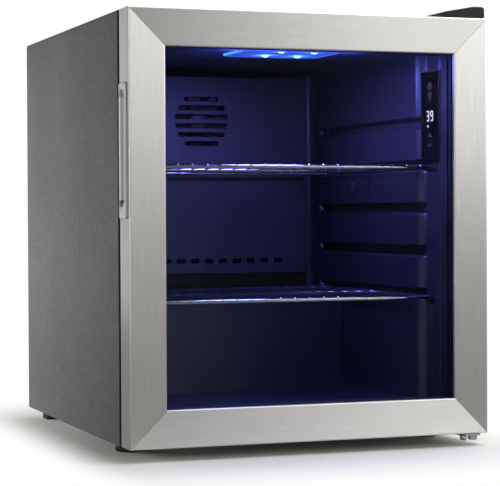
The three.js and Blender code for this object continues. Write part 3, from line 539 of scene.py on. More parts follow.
def lit_lens(name, spots, centre, flat_half):
    """Frosted blue plastic that glows, brightest over each diode: the glow falls off with the distance to the
    nearest spot. Past the flat middle's half size the rim glows brighter still: a painted highlight on its
    edge."""
    glow_reach, rim_highlight_reach = 0.05, 0.004
    material = finish(name, shade(120, 160, 255), shade(190, 214, 255), (0.3, 0.4), 600, marks=50)
    nodes, link = material.node_tree.nodes, material.node_tree.links.new
    shader, place = nodes["Principled BSDF"], nodes["Texture Coordinate"]
    nearest = None
    for spot in spots:
        distance = nodes.new("ShaderNodeVectorMath")
        distance.operation = "DISTANCE"
        distance.inputs[1].default_value = spot
        link(place.outputs["Object"], distance.inputs[0])
        if nearest is None:
            nearest = distance.outputs["Value"]
            continue
        smaller = nodes.new("ShaderNodeMath")
        smaller.operation = "MINIMUM"
        link(nearest, smaller.inputs[0])
        link(distance.outputs["Value"], smaller.inputs[1])
        nearest = smaller.outputs["Value"]
    glow = nodes.new("ShaderNodeValToRGB")
    elements = glow.color_ramp.elements
    elements[0].position, elements[0].color = 0.0, (1.0, 1.0, 1.0, 1)
    elements[1].position, elements[1].color = 1.0, (0.002, 0.010, 0.12, 1)
    between = ((0.07, (0.5, 0.9, 1.0)), (0.15, (0.05, 0.26, 1.0)), (0.4, (0.005, 0.03, 0.26)))
    for position, colour in between:
        elements.new(position).color = (*colour, 1)
    scaled = nodes.new("ShaderNodeMapRange")
    scaled.inputs["From Max"].default_value = glow_reach
    link(nearest, scaled.inputs["Value"])
    link(scaled.outputs["Result"], glow.inputs["Fac"])
    past_flat = outside_box(nodes, link, place.outputs["Object"], centre, flat_half)
    # Painted highlight: over the rim's width the glow is raised to a brighter blue.
    rim, rim_highlight = nodes.new("ShaderNodeMapRange"), nodes.new("ShaderNodeMix")
    rim.inputs["From Max"].default_value = rim_highlight_reach
    rim_highlight.data_type = "RGBA"
    rim_highlight.inputs["B"].default_value = (0.05, 0.20, 0.75, 1)
    link(past_flat, rim.inputs["Value"])
    link(rim.outputs["Result"], rim_highlight.inputs["Factor"])
    link(glow.outputs["Color"], rim_highlight.inputs["A"])
    link(rim_highlight.outputs["Result"], shader.inputs["Emission Color"])
    shader.inputs["Emission Strength"].default_value = 2.2
    return material


lens_low, lens_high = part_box("lamp_cover")
lens_middle = (lens_low + lens_high) / 2
diode_shift, diode_apart_x, diode_apart_y = 0.006, 0.021, 0.028
diode_x = lens_middle.x + diode_shift + diode_apart_x * np.array([-1, 1])
diode_y = lens_middle.y + diode_apart_y * np.array([-1, 1])
spots = [(x, y, lens_low.z) for x in diode_x for y in diode_y]
lens_skin, lens_ease, lens_corner, lens_rim = 0.0017, 0.0012, 0.014, 0.005
dome_drop, dome_radius = 0.0024, 0.0046
lens_floor = lens_low.z + dome_drop
lens_top = lens_floor + lens_skin
bend = quarter(4)
lens_wall = [(0, lens_high.z)]
lens_wall += zip(lens_ease - lens_ease * np.cos(bend), lens_floor + lens_ease - lens_ease * np.sin(bend))
lens_hollow = [(lens_skin, lens_high.z), (lens_skin, lens_top), (lens_skin + 0.001, lens_top)]
dome = [(0, lens_floor + lens_skin / 2), (dome_radius, lens_floor + lens_skin / 2)]
dome += zip(dome_radius * np.cos(quarter()), lens_floor - dome_drop * np.sin(quarter()))
domes = [turned(dome, (x, y, 0), sides=28) for x, y, _ in spots]
outside = dish(lens_low.xy, lens_high.xy, lens_corner, lens_wall)
inside = dish(lens_low.xy, lens_high.xy, lens_corner, lens_hollow)
for _, faces in (outside, inside):
    faces.pop(-2)
rim = (np.stack([outside[0][0], inside[0][0]]), grid_faces(2, outside[0].shape[1], close_columns=True))
lens_flat = (lens_high.x - lens_middle.x - lens_rim, lens_high.y - lens_middle.y - lens_rim, 1.0)
lens_glow = lit_lens("lit_lens", spots, lens_middle, lens_flat)
lens = add_piece("lamp_lens_moulding", [outside, inside, rim, *domes], lens_glow, "cabinet",
                 ["lamp_cover"])
board_green = finish("board_green", shade(24, 74, 46), shade(34, 96, 62), (0.35, 0.5), 500, marks=80,
                     bump=0.00003)
dress("lamp_board", board_green)

# ---- control panel --------------------------------------------------------------------------
# A glossy black strip on the right-hand wall, in a thin plastic frame. Its touch signs and the
# two-figure temperature show white through the strip.
gloss_black = finish("gloss_black", shade(9, 9, 12), shade(15, 15, 20), (0.06, 0.14), 200, marks=30)
eased_copy("panel_frame", "control_panel_housing", 0.0005, moulded_black)
eased_copy("panel_strip", "control_panel_glass", 0.0004, gloss_black)


def lit_mark(name, colour, strength):
    """A printed sign lit from behind, a little uneven as such prints are."""
    material = finish(name, shade(20, 20, 20), shade(44, 44, 44), (0.3, 0.4), 2500, marks=400)
    shader = material.node_tree.nodes["Principled BSDF"]
    shader.inputs["Emission Color"].default_value = colour
    shader.inputs["Emission Strength"].default_value = strength
    return material


strip_front = np.array([0.1795, -0.2010])
strip_back = np.array([0.1747, -0.1620])
strip_run = (strip_front - strip_back) / np.linalg.norm(strip_front - strip_back)
strip_out = np.array([strip_run[1], -strip_run[0]])
strip_middle = (strip_front + strip_back) / 2


def stroke(points, width, closed=False):
    """A flat line of a width through (across, height) points on the strip: each point is moved to
    both sides, square to the line there, and all lie a little off the strip."""
    points = np.asarray(points, float)
    if closed:
        heading = np.roll(points, -1, axis=0) - np.roll(points, 1, axis=0)
    else:
        heading = np.gradient(points, axis=0)
    heading /= np.linalg.norm(heading, axis=1, keepdims=True)
    side = np.stack([-heading[:, 1], heading[:, 0]], -1) * width / 2
    pair = np.stack([points + side, points - side])
    raised = 0.00012
    ground = strip_middle + strip_out * raised + pair[..., :1] * strip_run
    placed = np.concatenate([ground, pair[..., 1:]], axis=-1)
    return placed, grid_faces(2, len(points), close_columns=closed)


def arc_points(centre, radius, start, stop, count=24):
    """Points on a circle about centre from one angle to another, in degrees."""
    angle = np.radians(np.linspace(start, stop, count))
    return np.stack([centre[0] + radius * np.cos(angle), centre[1] + radius * np.sin(angle)], -1)


def figure(segments, left, bottom, width, height):
    """A seven-segment figure: each named segment is a straight stroke of the eight-shaped grid."""
    x0, x1 = left, left + width
    z0, z1, z2 = bottom, bottom + height / 2, bottom + height
    gap, line_width = 0.0005, 0.0013
    lines = {
        "a": [[x0 + gap, z2], [x1 - gap, z2]], "b": [[x1, z2 - gap], [x1, z1 + gap]],
        "c": [[x1, z1 - gap], [x1, z0 + gap]], "d": [[x0 + gap, z0], [x1 - gap, z0]],
        "e": [[x0, z1 - gap], [x0, z0 + gap]], "f": [[x0, z2 - gap], [x0, z1 + gap]],
        "g": [[x0 + gap, z1], [x1 - gap, z1]],
    }
    return [stroke(lines[segment], line_width) for segment in segments]


sign_width, sign_sheet = 0.0007, 0.0001
figure_low, figure_width, figure_height = 0.3860, 0.0050, 0.0112
digits = figure("abcdg", -0.0070, figure_low, figure_width, figure_height)
digits += figure("abcdfg", 0.0020, figure_low, figure_width, figure_height)
dot = [stroke(arc_points((-0.004, 0.3793), 0.0007, 0, 345, 12), 0.0014, closed=True)]
dim_signs = [
    stroke(arc_points((0, 0.4276), 0.0034, 125, 415), sign_width),
    stroke([[0, 0.4276], [0, 0.4318]], sign_width),
    stroke(arc_points((0, 0.4168), 0.0031, -50, 230), sign_width),
    stroke([[-0.0016, 0.4128], [0.0016, 0.4128]], sign_width),
    stroke([[-0.0012, 0.4112], [0.0012, 0.4112]], sign_width),
    stroke([[-0.0042, 0.3662], [0, 0.3702], [0.0042, 0.3662]], sign_width),
    stroke([[-0.0042, 0.3583], [0, 0.3543], [0.0042, 0.3583]], sign_width),
]
white_light = lit_mark("white_figures", (1, 1, 1, 1), 1.2)
dim_light = lit_mark("dim_signs", (0.75, 0.78, 0.85, 1), 0.16)
to_room = Vector((*strip_out, 0))
for name, signs, light in (("panel_figures", digits + dot, white_light),
                           ("panel_touch_signs", dim_signs, dim_light)):
    add_piece(name, signs, light, "cabinet", sheet=sign_sheet, facing=to_room)

# ---- feet ---------------------------------------------------------------------------------
# Front feet are ribbed plastic pads on threaded stems, turned by hand to level the fridge; rear
# feet are plain rubber blocks.
rubber_black = finish("rubber_black", shade(16, 16, 17), shade(28, 28, 29), (0.65, 0.85), 800, marks=25,
                      bump=0.00008)
for side, body in (("left", "left_foot"), ("right", "right_foot")):
    low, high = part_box(f"{side}_levelling_foot")
    middle = (low + high) / 2
    pad_top, stem = 0.008, 0.004
    profile = [[0, 0], [0.0132, 0], [0.0147, 0.0009], [0.015, 0.002], [0.015, 0.0048], [0.0143, 0.0058],
               [0.0122, pad_top - 0.0006], [0.0112, pad_top], [stem + 0.001, pad_top],
               [stem, pad_top + 0.0008]]
    thread = np.linspace(pad_top + 0.0012, high.z - 0.001, 34)
    profile += [[stem - 0.0005 * (i % 2), z] for i, z in enumerate(thread)]
    profile += [[stem - 0.0012, high.z], [0, high.z]]
    sides = 64
    points, faces = turned(profile, (middle.x, middle.y, 0), sides=sides)
    radius, height = np.asarray(profile).T[:, :, None]
    is_groove = (radius > 0.0145) & (height < 0.006) & (np.arange(sides) % 4 < 1)
    centre = np.array([middle.x, middle.y])
    points[..., :2] = centre + (points[..., :2] - centre) * np.where(is_groove, 0.97, 1)[..., None]
    add_piece(f"{side}_screw_foot", [(points, faces)], moulded_black, body,
              [f"{side}_levelling_foot"])
    low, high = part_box(f"{side}_rear_foot")
    ease = 0.0012
    levels = [(ease, 0), (0.0003, 0.0004), (0, ease), (0, high.z - ease), (0.0003, high.z - 0.0003),
              (ease, high.z)]
    add_piece(f"{side}_rear_block", [dish(low.xy, high.xy, 0.004, levels)], rubber_black, "cabinet",
              [f"{side}_rear_foot"])

# ---- compressor ---------------------------------------------------------------------------
# A sealed motor-compressor in a deep-drawn can, two halves welded round the middle, on a plate
# with four rubber mounts. A relay box clips to its side and a tray on top dries off meltwater.
low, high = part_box("compressor")
middle = np.array([(low.x + high.x) / 2, (low.y + high.y) / 2])
pan_top = base + 0.0008
plate_z, plate_half = pan_top + 0.020, np.array([0.084, 0.046])
stretch_x, can_radius, weld = 1.25, 0.050, 0.0002
can = [[0, 0.012], [0.020, 0.0122], [0.032, 0.013], [0.040, 0.0158], [0.046, 0.021], [0.049, 0.027],
       [can_radius, 0.033], [can_radius, 0.052], [can_radius + weld, 0.0525], [can_radius + weld, 0.0575],
       [can_radius, 0.058], [can_radius, 0.075], [0.049, 0.082], [0.046, 0.089], [0.040, 0.0945],
       [0.030, 0.0985], [0.016, 0.1006], [0, 0.101]]
can_points, can_faces = turned(can, (0, 0, 0), sides=72)
can_points = can_points * np.array([stretch_x, 1, 1]) + np.array([*middle, pan_top])
plate_levels = [(0.0006, plate_z), (0, plate_z + 0.0006), (0, plate_z + 0.0024), (0.0006, plate_z + 0.003)]
plate = dish(middle - plate_half, middle + plate_half, 0.008, plate_levels)
add_piece("compressor_can", [(can_points, can_faces), plate], black_paint, "cabinet",
          ["compressor"])
grommet = [[0, 0], [0.0085, 0], [0.009, 0.0006], [0.0088, 0.004], [0.0078, 0.0055], [0.0088, 0.007],
           [0.0088, 0.011], [0.0076, 0.0126], [0.0086, 0.014], [0.009, 0.0157], [0.007, 0.0192],
           [0.005, 0.0194], [0.005, 0.0237], [0.0078, 0.0239], [0.0080, 0.0246], [0.007, 0.0266], [0, 0.0267]]
for number in range(1, 5):
    low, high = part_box(f"compressor_mount_{number}")
    middle = (low + high) / 2
    ribbed = turned(grommet, (middle.x, middle.y, low.z), sides=36)
    add_piece(f"compressor_grommet_{number}", [ribbed], rubber_black, "cabinet",
              [f"compressor_mount_{number}"])
low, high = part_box("start_relay_box")
ease = 0.0012
levels = [(ease, low.z), (0.0003, low.z + 0.0004), (0, low.z + ease), (0, high.z - 0.012),
          (0.0008, high.z - 0.0116), (0.0008, high.z - 0.0108), (0, high.z - 0.0104), (0, high.z - ease),
          (0.0003, high.z - 0.0004), (ease, high.z)]
add_piece("relay_box_and_lid", [dish(low.xy, high.xy, 0.004, levels)], moulded_black,
          "cabinet", ["start_relay_box"])
low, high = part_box("drip_tray")
wall = 0.002
levels = [(0.001, low.z), (0, low.z + 0.001), (0, high.z - 0.0004), (0.0006, high.z), (wall - 0.0006, high.z),
          (wall, high.z - 0.0006), (wall, low.z + wall + 0.001), (wall + 0.0012, low.z + wall)]
add_piece("meltwater_tray", [dish(low.xy, high.xy, 0.008, levels)], moulded_black, "cabinet",
          ["drip_tray"])

# ---- condenser and pipes ----------------------------------------------------------------------
# A black steel tube runs to and fro behind the rear panel, with thin wires spot-welded up and down
# both of its faces. Copper pipes join it to the filter dryer and the compressor.
low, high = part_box("condenser_coil")
tube, runs, run_bottom, run_pitch, reach = 0.0026, 7, 0.190, 0.044, 0.176
tube_y = high.y - tube
run_z = run_bottom + run_pitch * np.repeat(np.arange(runs), 2)
run_x = reach * np.resize([-1, 1, 1, -1], 2 * runs)
serpentine = bent(np.stack([run_x, np.full(2 * runs, tube_y), run_z], -1), 0.014, 9)
wire, wire_overlap, wire_stagger = 0.0008, 0.2, 0.003
wire_x = np.linspace(-0.156, 0.156, 53)
wire_feet = np.stack([wire_x, 0 * wire_x + tube_y - tube - wire * wire_overlap, 0 * wire_x], -1)
inner_wires = wire_feet[:, None] + np.array([[0, 0, low.z], [0, 0, high.z]])
outer_wires = inner_wires + np.array([wire_stagger, 2 * tube + 2 * wire * wire_overlap, 0])
add_piece("condenser_tube_and_wires",
          [rods([serpentine], tube, 12), rods(inner_wires, wire, 6), rods(outer_wires, wire, 6)],
          black_paint, "cabinet", ["condenser_coil"])
copper_pipe = finish("copper_pipe", shade(164, 96, 62), shade(202, 132, 94), (0.28, 0.42), 120, marks=25,
                     share=0.6, bump=0.00002, Metallic=1.0)
pipe = 0.003
discharge = bent([[0.040, 0.236, 0.060], [0.020, 0.242, 0.060], [-0.030, 0.242, 0.100],
                  [-reach, 0.242, 0.130], [-reach, tube_y, 0.150],
                  [-reach, tube_y, run_bottom - tube - 0.0003]], 0.008, 7)
suction = bent([[0.125, 0.152, 0.060], [0.150, 0.152, 0.060], [0.178, 0.160, 0.080], [0.178, 0.180, 0.134]],
               0.010, 7)
for name, path in (("discharge", discharge), ("suction", suction)):
    add_piece(f"{name}_copper", [rods([path], pipe, 14)], copper_pipe, "cabinet", [f"{name}_pipe"])
low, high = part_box("filter_dryer")
middle = (low + high) / 2
shell = high.x - middle.x
dryer = [[0, low.z], [0.003, low.z], [0.0036, low.z + 0.003], [0.0075, low.z + 0.0085],
         [shell, low.z + 0.012], [shell, low.z + 0.024], [shell - 0.0007, low.z + 0.025],
         [shell, low.z + 0.026], [shell, high.z - 0.012], [0.0075, high.z - 0.0085],
         [0.0036, high.z - 0.003], [0.003, high.z], [0, high.z]]
add_piece("filter_dryer_shell", [turned(dryer, (middle.x, middle.y, 0), sides=40)], copper_pipe,
          "cabinet", ["filter_dryer"])
low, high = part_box("cord_gland")
middle = (low + high) / 2
ribs = [[0, low.y], [0.0068, low.y], [0.007, low.y + 0.0004], [0.007, low.y + 0.0026],
        [0.0066, low.y + 0.003], [0.0052, low.y + 0.006]]
ribs += [[0.0051 - 0.0006 * (i % 2) - 0.00009 * i, low.y + 0.0066 + 0.0013 * i] for i in range(12)]
ribs += [[0.0038, high.y], [0, high.y]]
add_piece("mains_lead_gland", [turned(ribs, (middle.x, 0, middle.z), axis=1, sides=32)], rubber_black,
          "cabinet", ["cord_gland"])

# ---- door rails ---------------------------------------------------------------------------
# Four stainless strips folded round the door's edge and in again beside the glass, mitred at the
# corners. Each is brushed along its own length.
rail_low, rail_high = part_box("door_rail_bottom")
door_front, door_back = rail_low.y, rail_high.y
door_low, rail_width = rail_low.z, rail_high.z - rail_low.z
door_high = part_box("door_rail_top")[1].z
rail_sheet, mitre_slit, lip_depth = 0.0012, 0.0002, 0.0052
hinge_x, hinge_y = half - 0.011, door_front + 0.018
trough_y, trough_low, trough_high = door_front + 0.0235, 0.283, 0.413
trough_half, trough_depth = 0.0092, 0.014


def rail(side, holes):
    """The rail's profile of (inset from the door's edge, y) carried along one side of the door. Both
    ends step in by the inset, which makes the mitres. Cells inside a hole are left out."""
    outer_fold, inner_fold, ease = 0.0019, 0.0015, 0.0005
    turn_in = quarter(7)
    strip_y = np.unique(np.round([y for hole in holes for y in hole[2:]] + [door_back], 5))[::-1]
    inner_start = rail_width - inner_fold
    inset = np.concatenate([
        0 * strip_y, [0], outer_fold - outer_fold * np.cos(turn_in), [outer_fold + ease],
        [inner_start - ease], inner_start + inner_fold * np.sin(turn_in), [rail_width],
    ])
    y = np.concatenate([
        strip_y, [door_front + outer_fold + ease], door_front + outer_fold - outer_fold * np.sin(turn_in),
        [door_front], [door_front], door_front + inner_fold - inner_fold * np.cos(turn_in),
        [door_front + lip_depth],
    ])
    upright = side in ("left", "right")
    start, stop = (door_low, door_high) if upright else (-half, half)
    cuts = np.unique(np.round([u for hole in holes for u in hole[:2]], 5))
    first, last = start + inset + mitre_slit, stop - inset - mitre_slit
    along = np.clip(np.concatenate([[start], cuts, [stop]]), first[:, None], last[:, None])
    edge_of = {"left": (-half, 1), "right": (half, -1), "bottom": (door_low, 1), "top": (door_high, -1)}
    edge, inwards = edge_of[side]
    across = (edge + inwards * inset)[:, None] + 0 * along
    depth = y[:, None] + 0 * along
    points = np.stack([across, depth, along] if upright else [along, depth, across], -1)
    rows, columns = along.shape
    keep = np.ones((rows - 1, columns - 1), bool)
    middle_y, middle_u = (y[:-1] + y[1:]) / 2, (along[0, :-1] + along[0, 1:]) / 2
    for u0, u1, y0, y1 in holes:
        in_y = (middle_y > y0) & (middle_y < y1) & (inset[1:] == 0)
        in_u = (middle_u > u0) & (middle_u < u1)
        keep &= ~(in_y[:, None] & in_u[None, :])
    faces = np.array(grid_faces(rows, columns))[keep.ravel()]
    return points, faces.tolist()


def brushed(name, dark, light, along):
    """Stainless steel brushed along one axis: long fine scratches, and a glint that is drawn out
    square to them."""
    stretch = [1, 1, 1]
    stretch["xyz".index(along)] = 0.006
    material = finish(name, dark, light, (0.31, 0.37), 2600, stretch, marks=5, share=0.12, bump=0.000006,
                      Metallic=1.0, Anisotropic=0.9)
    tangent = material.node_tree.nodes.new("ShaderNodeTangent")
    tangent.direction_type = "UV_MAP"
    tangent.uv_map = "brushing"
    shader = material.node_tree.nodes["Principled BSDF"]
    material.node_tree.links.new(tangent.outputs["Tangent"], shader.inputs["Tangent"])
    return material


def lay_brushing(piece, along):
    """A UV map whose V runs along the brushing. U is the two other coordinates added up, so it runs
    across the strip on its face and on its folded edge alike."""
    mesh = piece.data
    points = np.empty(len(mesh.vertices) * 3)
    mesh.vertices.foreach_get("co", points)
    corner_of = np.empty(len(mesh.loops), int)
    mesh.loops.foreach_get("vertex_index", corner_of)
    place = points.reshape(-1, 3)[corner_of]
    axis = "xyz".index(along)
    across = place.sum(1) - place[:, axis]
    brushing = mesh.uv_layers.new(name="brushing")
    brushing.data.foreach_set("uv", np.stack([across, place[:, axis]], -1).ravel())


upright_steel = brushed("steel_brushed_upright", shade(196, 195, 191), shade(222, 221, 217), "z")
level_steel = brushed("steel_brushed_level", shade(196, 195, 191), shade(222, 221, 217), "x")
bush_hole, plug_hole, pocket_wall = 0.0062, 0.0037, 0.0015
pocket_half = trough_half + pocket_wall
side_holes = [(trough_low - pocket_wall, trough_high + pocket_wall,
               trough_y - pocket_half, trough_y + pocket_half)]
end_holes = [
    (hinge_x - bush_hole, hinge_x + bush_hole, hinge_y - bush_hole, hinge_y + bush_hole),
    (-hinge_x - plug_hole, -hinge_x + plug_hole, hinge_y - plug_hole, hinge_y + plug_hole),
]
for side, holes, steel in (("left", side_holes, upright_steel), ("right", [], upright_steel),
                           ("bottom", end_holes, level_steel), ("top", end_holes, level_steel)):
    strip = add_piece(f"{side}_rail_sheet", [rail(side, holes)], steel, "door",
                      [f"door_rail_{side}"], sheet=rail_sheet)
    lay_brushing(strip, "z" if steel is upright_steel else "x")

# ---- door handle --------------------------------------------------------------------------
# A stainless plate let into the door's free edge, with a long finger trough pressed into it and a
# small screw under the trough.
plate_low, plate_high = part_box("handle_plate")
plate_sheet = 0.0012


def handle_surface():
    """Rings round the trough's middle line, each a pill shape. From the line to the rim they rise as a
    quarter ellipse; past the rim they open out, over a soft fold, to the plate's rounded edge."""
    steps = 14
    around = np.concatenate([np.linspace(0, np.pi, 2 * steps), np.linspace(np.pi, 2 * np.pi, 2 * steps)])
    upper = np.arange(4 * steps) < 2 * steps
    line_z = np.where(upper, trough_high - trough_half, trough_low + trough_half)
    share = np.concatenate([np.sin(np.linspace(0, np.pi / 2, 16)[:-1]) * 0.985, [0.995]])[:, None]
    hollow_y = trough_y + share * trough_half * np.cos(around)
    hollow_z = line_z + share * trough_half * np.sin(around)
    hollow_x = plate_low.x + trough_depth * np.sqrt(1 - share**2) + 0 * hollow_y
    rim = trough_half + np.array([0.0002, 0.0006, 0.0012])[:, None]
    rim_y, rim_z = trough_y + rim * np.cos(around), line_z + rim * np.sin(around)
    rim_x = plate_low.x + np.array([0.0006, 0.00015, 0.0])[:, None] + 0 * rim_y
    corner = 0.004
    turn = np.concatenate([quarter(steps - 1) + k * np.pi / 2 for k in range(4)])
    near_y, far_y = plate_low.y + corner, plate_high.y - corner
    low_z, high_z = plate_low.z + corner, plate_high.z - corner
    edge_radius = corner - np.array([0.0009, 0.0004, 0.0])[:, None]
    edge_y = np.repeat([far_y, near_y, near_y, far_y], steps) + edge_radius * np.cos(turn)
    edge_z = np.repeat([high_z, high_z, low_z, low_z], steps) + edge_radius * np.sin(turn)
    edge_x = plate_low.x + np.array([0.0, 0.0001, 0.0005])[:, None] + 0 * edge_y
    hollow, rim, edge = ((hollow_x, hollow_y, hollow_z), (rim_x, rim_y, rim_z), (edge_x, edge_y, edge_z))
    points = np.concatenate([np.stack(rings, -1) for rings in (hollow, rim, edge)])
    return points, grid_faces(*points.shape[:2], close_columns=True)


handle_steel = brushed("handle_steel", shade(205, 204, 201), shade(230, 229, 226), "z")
handle = add_piece("handle_plate_and_trough", [handle_surface()], handle_steel, "door",
                   ["handle_plate"], sheet=plate_sheet, sharp=50, facing=Vector((-1, 0, 0)))
lay_brushing(handle, "z")


# ---- screws, plugs, bushes and hinges ---------------------------------------------------------
# The door hangs on two zinc-plated brackets, each with a pin that turns in a plastic bush. Screws
# with cross recesses hold the brackets; a moulded cover hides the upper one, and plugs fill the
# spare holes that let the door be hung the other way round.
def screw_head(seat, radius, height, out):
    """A domed head with a cross recess: height over the disc is the dome's, less a dent wherever the
    place lies within the cross's arms. The shank below is a plain bar."""
    sides = 64
    turn = np.linspace(0, 2 * np.pi, sides, endpoint=False)
    share, angle = np.meshgrid(np.linspace(0, 1, 15), turn, indexing="ij")
    u, v = share * radius * np.cos(angle), share * radius * np.sin(angle)
    dome = height * (0.55 + 0.45 * np.sqrt(np.maximum(1 - share**4, 0)))
    arm, reach, dent = 0.16 * radius, 0.62 * radius, 0.45 * height
    in_cross = (np.minimum(np.abs(u), np.abs(v)) < arm) & (np.hypot(u, v) < reach)
    rise = dome - dent * in_cross
    flat = np.zeros((1, sides))
    u, v, rise = np.vstack([u, u[-1:], flat]), np.vstack([v, v[-1:], flat]), np.vstack([rise, flat, flat])
    first = np.roll(np.abs(out), 1)
    second = np.cross(out, first)
    points = seat + u[..., None] * first + v[..., None] * second + rise[..., None] * out
    return points, grid_faces(*u.shape, close_columns=True)


bright_screw = finish("bright_screw", shade(150, 152, 155), shade(192, 194, 196), (0.2, 0.35), 400, marks=90,
                      share=0.6, Metallic=1.0)


def screw_piece(node, radius, height, out, material, body="cabinet"):
    """A screw in the place of a CAD one: its head's seat is the CAD box's far side less the height."""
    low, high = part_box(node)
    out = np.asarray(out, float)
    middle = np.array((low + high) / 2)
    tip = np.where(out > 0, np.array(high), np.where(out < 0, np.array(low), middle))
    seat = tip - out * height
    shank_end = np.where(out > 0, np.array(low), np.where(out < 0, np.array(high), middle))
    head = screw_head(seat, radius, height, out)
    shank = rods([[seat, (seat + shank_end) / 2, shank_end]], radius * 0.47, 16)
    add_piece(f"{node}_finished", [head, shank], material, body, [node])


for number in (1, 2, 3):
    screw_piece(f"top_hinge_screw_{number}", 0.0042, 0.0024, (0, 0, 1), zinc)
for number in (1, 2):
    screw_piece(f"bottom_hinge_screw_{number}", 0.0052, 0.0034, (0, 0, -1), bright_screw)
screw_piece("bottom_hinge_stop_screw", 0.0042, 0.006, (0, 0, -1), bright_screw)
screw_piece("handle_screw", 0.0022, 0.0007, (-1, 0, 0), black_paint, "door")

cover_plastic = finish("cover_plastic", shade(9, 9, 10), shade(16, 16, 17), (0.3, 0.42), 900, marks=30,
                       bump=0.00003, Specular_IOR_Level=0.3)
eased_copy("top_bracket", "top_hinge", 0.0004, zinc)
eased_copy("bottom_bracket", "bottom_hinge", 0.0004, zinc)
eased_copy("hinge_pin_and_head", "bottom_hinge_pin", 0.0004, bright_screw)
eased_copy("hinge_cover_moulding", "top_hinge_cover", 0.0007, cover_plastic)
for end, inwards, edge in (("bottom", 1, door_low), ("top", -1, door_high)):
    near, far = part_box(f"{end}_bush")[::inwards]
    deep, cup = far.z, far.z - inwards * 0.003
    bush = [[0.0042, edge - inwards * 0.0005], [0.0088, edge - inwards * 0.0005],
            [0.0092, edge - inwards * 0.0001], [0.0092, edge], [0.006, edge + inwards * 0.0001],
            [0.006, deep - inwards * 0.0006], [0.0054, deep], [0, deep], [0, cup], [0.0042, cup],
            [0.0042, edge - inwards * 0.0005]]
    near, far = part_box(f"{end}_plug")[::inwards]
    crown, tail = near.z, far.z
    plug = [[0, crown], [0.003, crown + inwards * 0.0001], [0.0045, crown + inwards * 0.0004],
            [0.0053, crown + inwards * 0.0009], [0.0055, edge - inwards * 0.0003],
            [0.0036, edge - inwards * 0.0002], [0.0036, edge + inwards * 0.0045],
            [0.0034, edge + inwards * 0.005], [0.0024, tail], [0, tail]]
    for name, profile, x, node in (("hinge_bush", bush, hinge_x, "bush"),
                                   ("hole_plug", plug, -hinge_x, "plug")):
        add_piece(f"{end}_{name}", [turned(profile, (x, hinge_y, 0), sides=40)], moulded_black,
                  "door", [f"{end}_{node}"])

# ---- door frame, glass and gasket -------------------------------------------------------------
# Behind the rails a black plastic frame holds a sealed unit of two panes on a black spacer. A
# magnetic rubber bellows pushed into the frame's back seals against the cabinet's flange.
dress("door_frame", moulded_black)
spacer_black = finish("spacer_black", shade(10, 10, 12), shade(20, 20, 23), (0.3, 0.45), 1500, marks=60)
dress("glass_spacer", spacer_black)


def pane_glass(name):
    """Clear coated glass. Light on its way to a surface behind passes straight through, so that the
    lamps reach the room inside; every other ray sees the glass."""
    material = finish(name, shade(242, 246, 247), shade(246, 249, 250), (0.0, 0.006), 30, marks=6,
                      Transmission_Weight=1.0, IOR=1.045)
    nodes, link = material.node_tree.nodes, material.node_tree.links.new
    path, clear = nodes.new("ShaderNodeLightPath"), nodes.new("ShaderNodeBsdfTransparent")
    choose = nodes.new("ShaderNodeMixShader")
    clear.inputs["Color"].default_value = shade(238, 242, 243)
    link(path.outputs["Is Shadow Ray"], choose.inputs["Fac"])
    link(nodes["Principled BSDF"].outputs["BSDF"], choose.inputs[1])
    link(clear.outputs["BSDF"], choose.inputs[2])
    link(choose.outputs["Shader"], nodes["Material Output"].inputs["Surface"])
    return material


coated_glass = pane_glass("coated_glass")
dress("glass_outer", coated_glass)
dress("glass_inner", coated_glass)

gasket_low, gasket_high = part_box("door_gasket")


def gasket_surface():
    """The bellows' closed section of (outset, y) carried round a rectangle: at each outset the
    rectangle grows by that much, so its corners are mitred."""
    y0, y1, widest = gasket_low.y, gasket_high.y, 0.0225
    step = (y1 - y0) / 8
    section = np.array([
        [0.0105, y0], [0.0220, y0], [0.0222, y0 + 0.5 * step], [0.0218, y0 + 1.6 * step],
        [0.0206, y0 + 2.4 * step], [0.0196, y0 + 3.2 * step], [0.0206, y0 + 4.4 * step],
        [0.0198, y0 + 5.2 * step], [0.0222, y0 + 5.9 * step], [widest, y0 + 6.6 * step],
        [0.0221, y1 - 0.0002], [0.0214, y1], [0.0114, y1], [0.0106, y1 - 0.0002],
        [0.0105, y0 + 6.4 * step], [0.0132, y0 + 5.4 * step], [0.0126, y0 + 4.4 * step],
        [0.0137, y0 + 3.2 * step], [0.0127, y0 + 2.2 * step], [0.0107, y0 + 1.2 * step],
    ])
    grow, y = section.T
    inner_x, inner_low, inner_high = gasket_high.x - widest, gasket_low.z + widest, gasket_high.z - widest
    x = (inner_x + grow)[:, None] * np.array([1, 1, -1, -1])
    z = np.stack([inner_low - grow, inner_high + grow, inner_high + grow, inner_low - grow], -1)
    points = np.stack([x, y[:, None] + 0 * x, z], -1)
    points = np.concatenate([points, points[:1]])
    return points, grid_faces(len(section) + 1, 4, close_columns=True)


add_piece("gasket_bellows", [gasket_surface()], rubber_black, "door", ["door_gasket"], sharp=50)

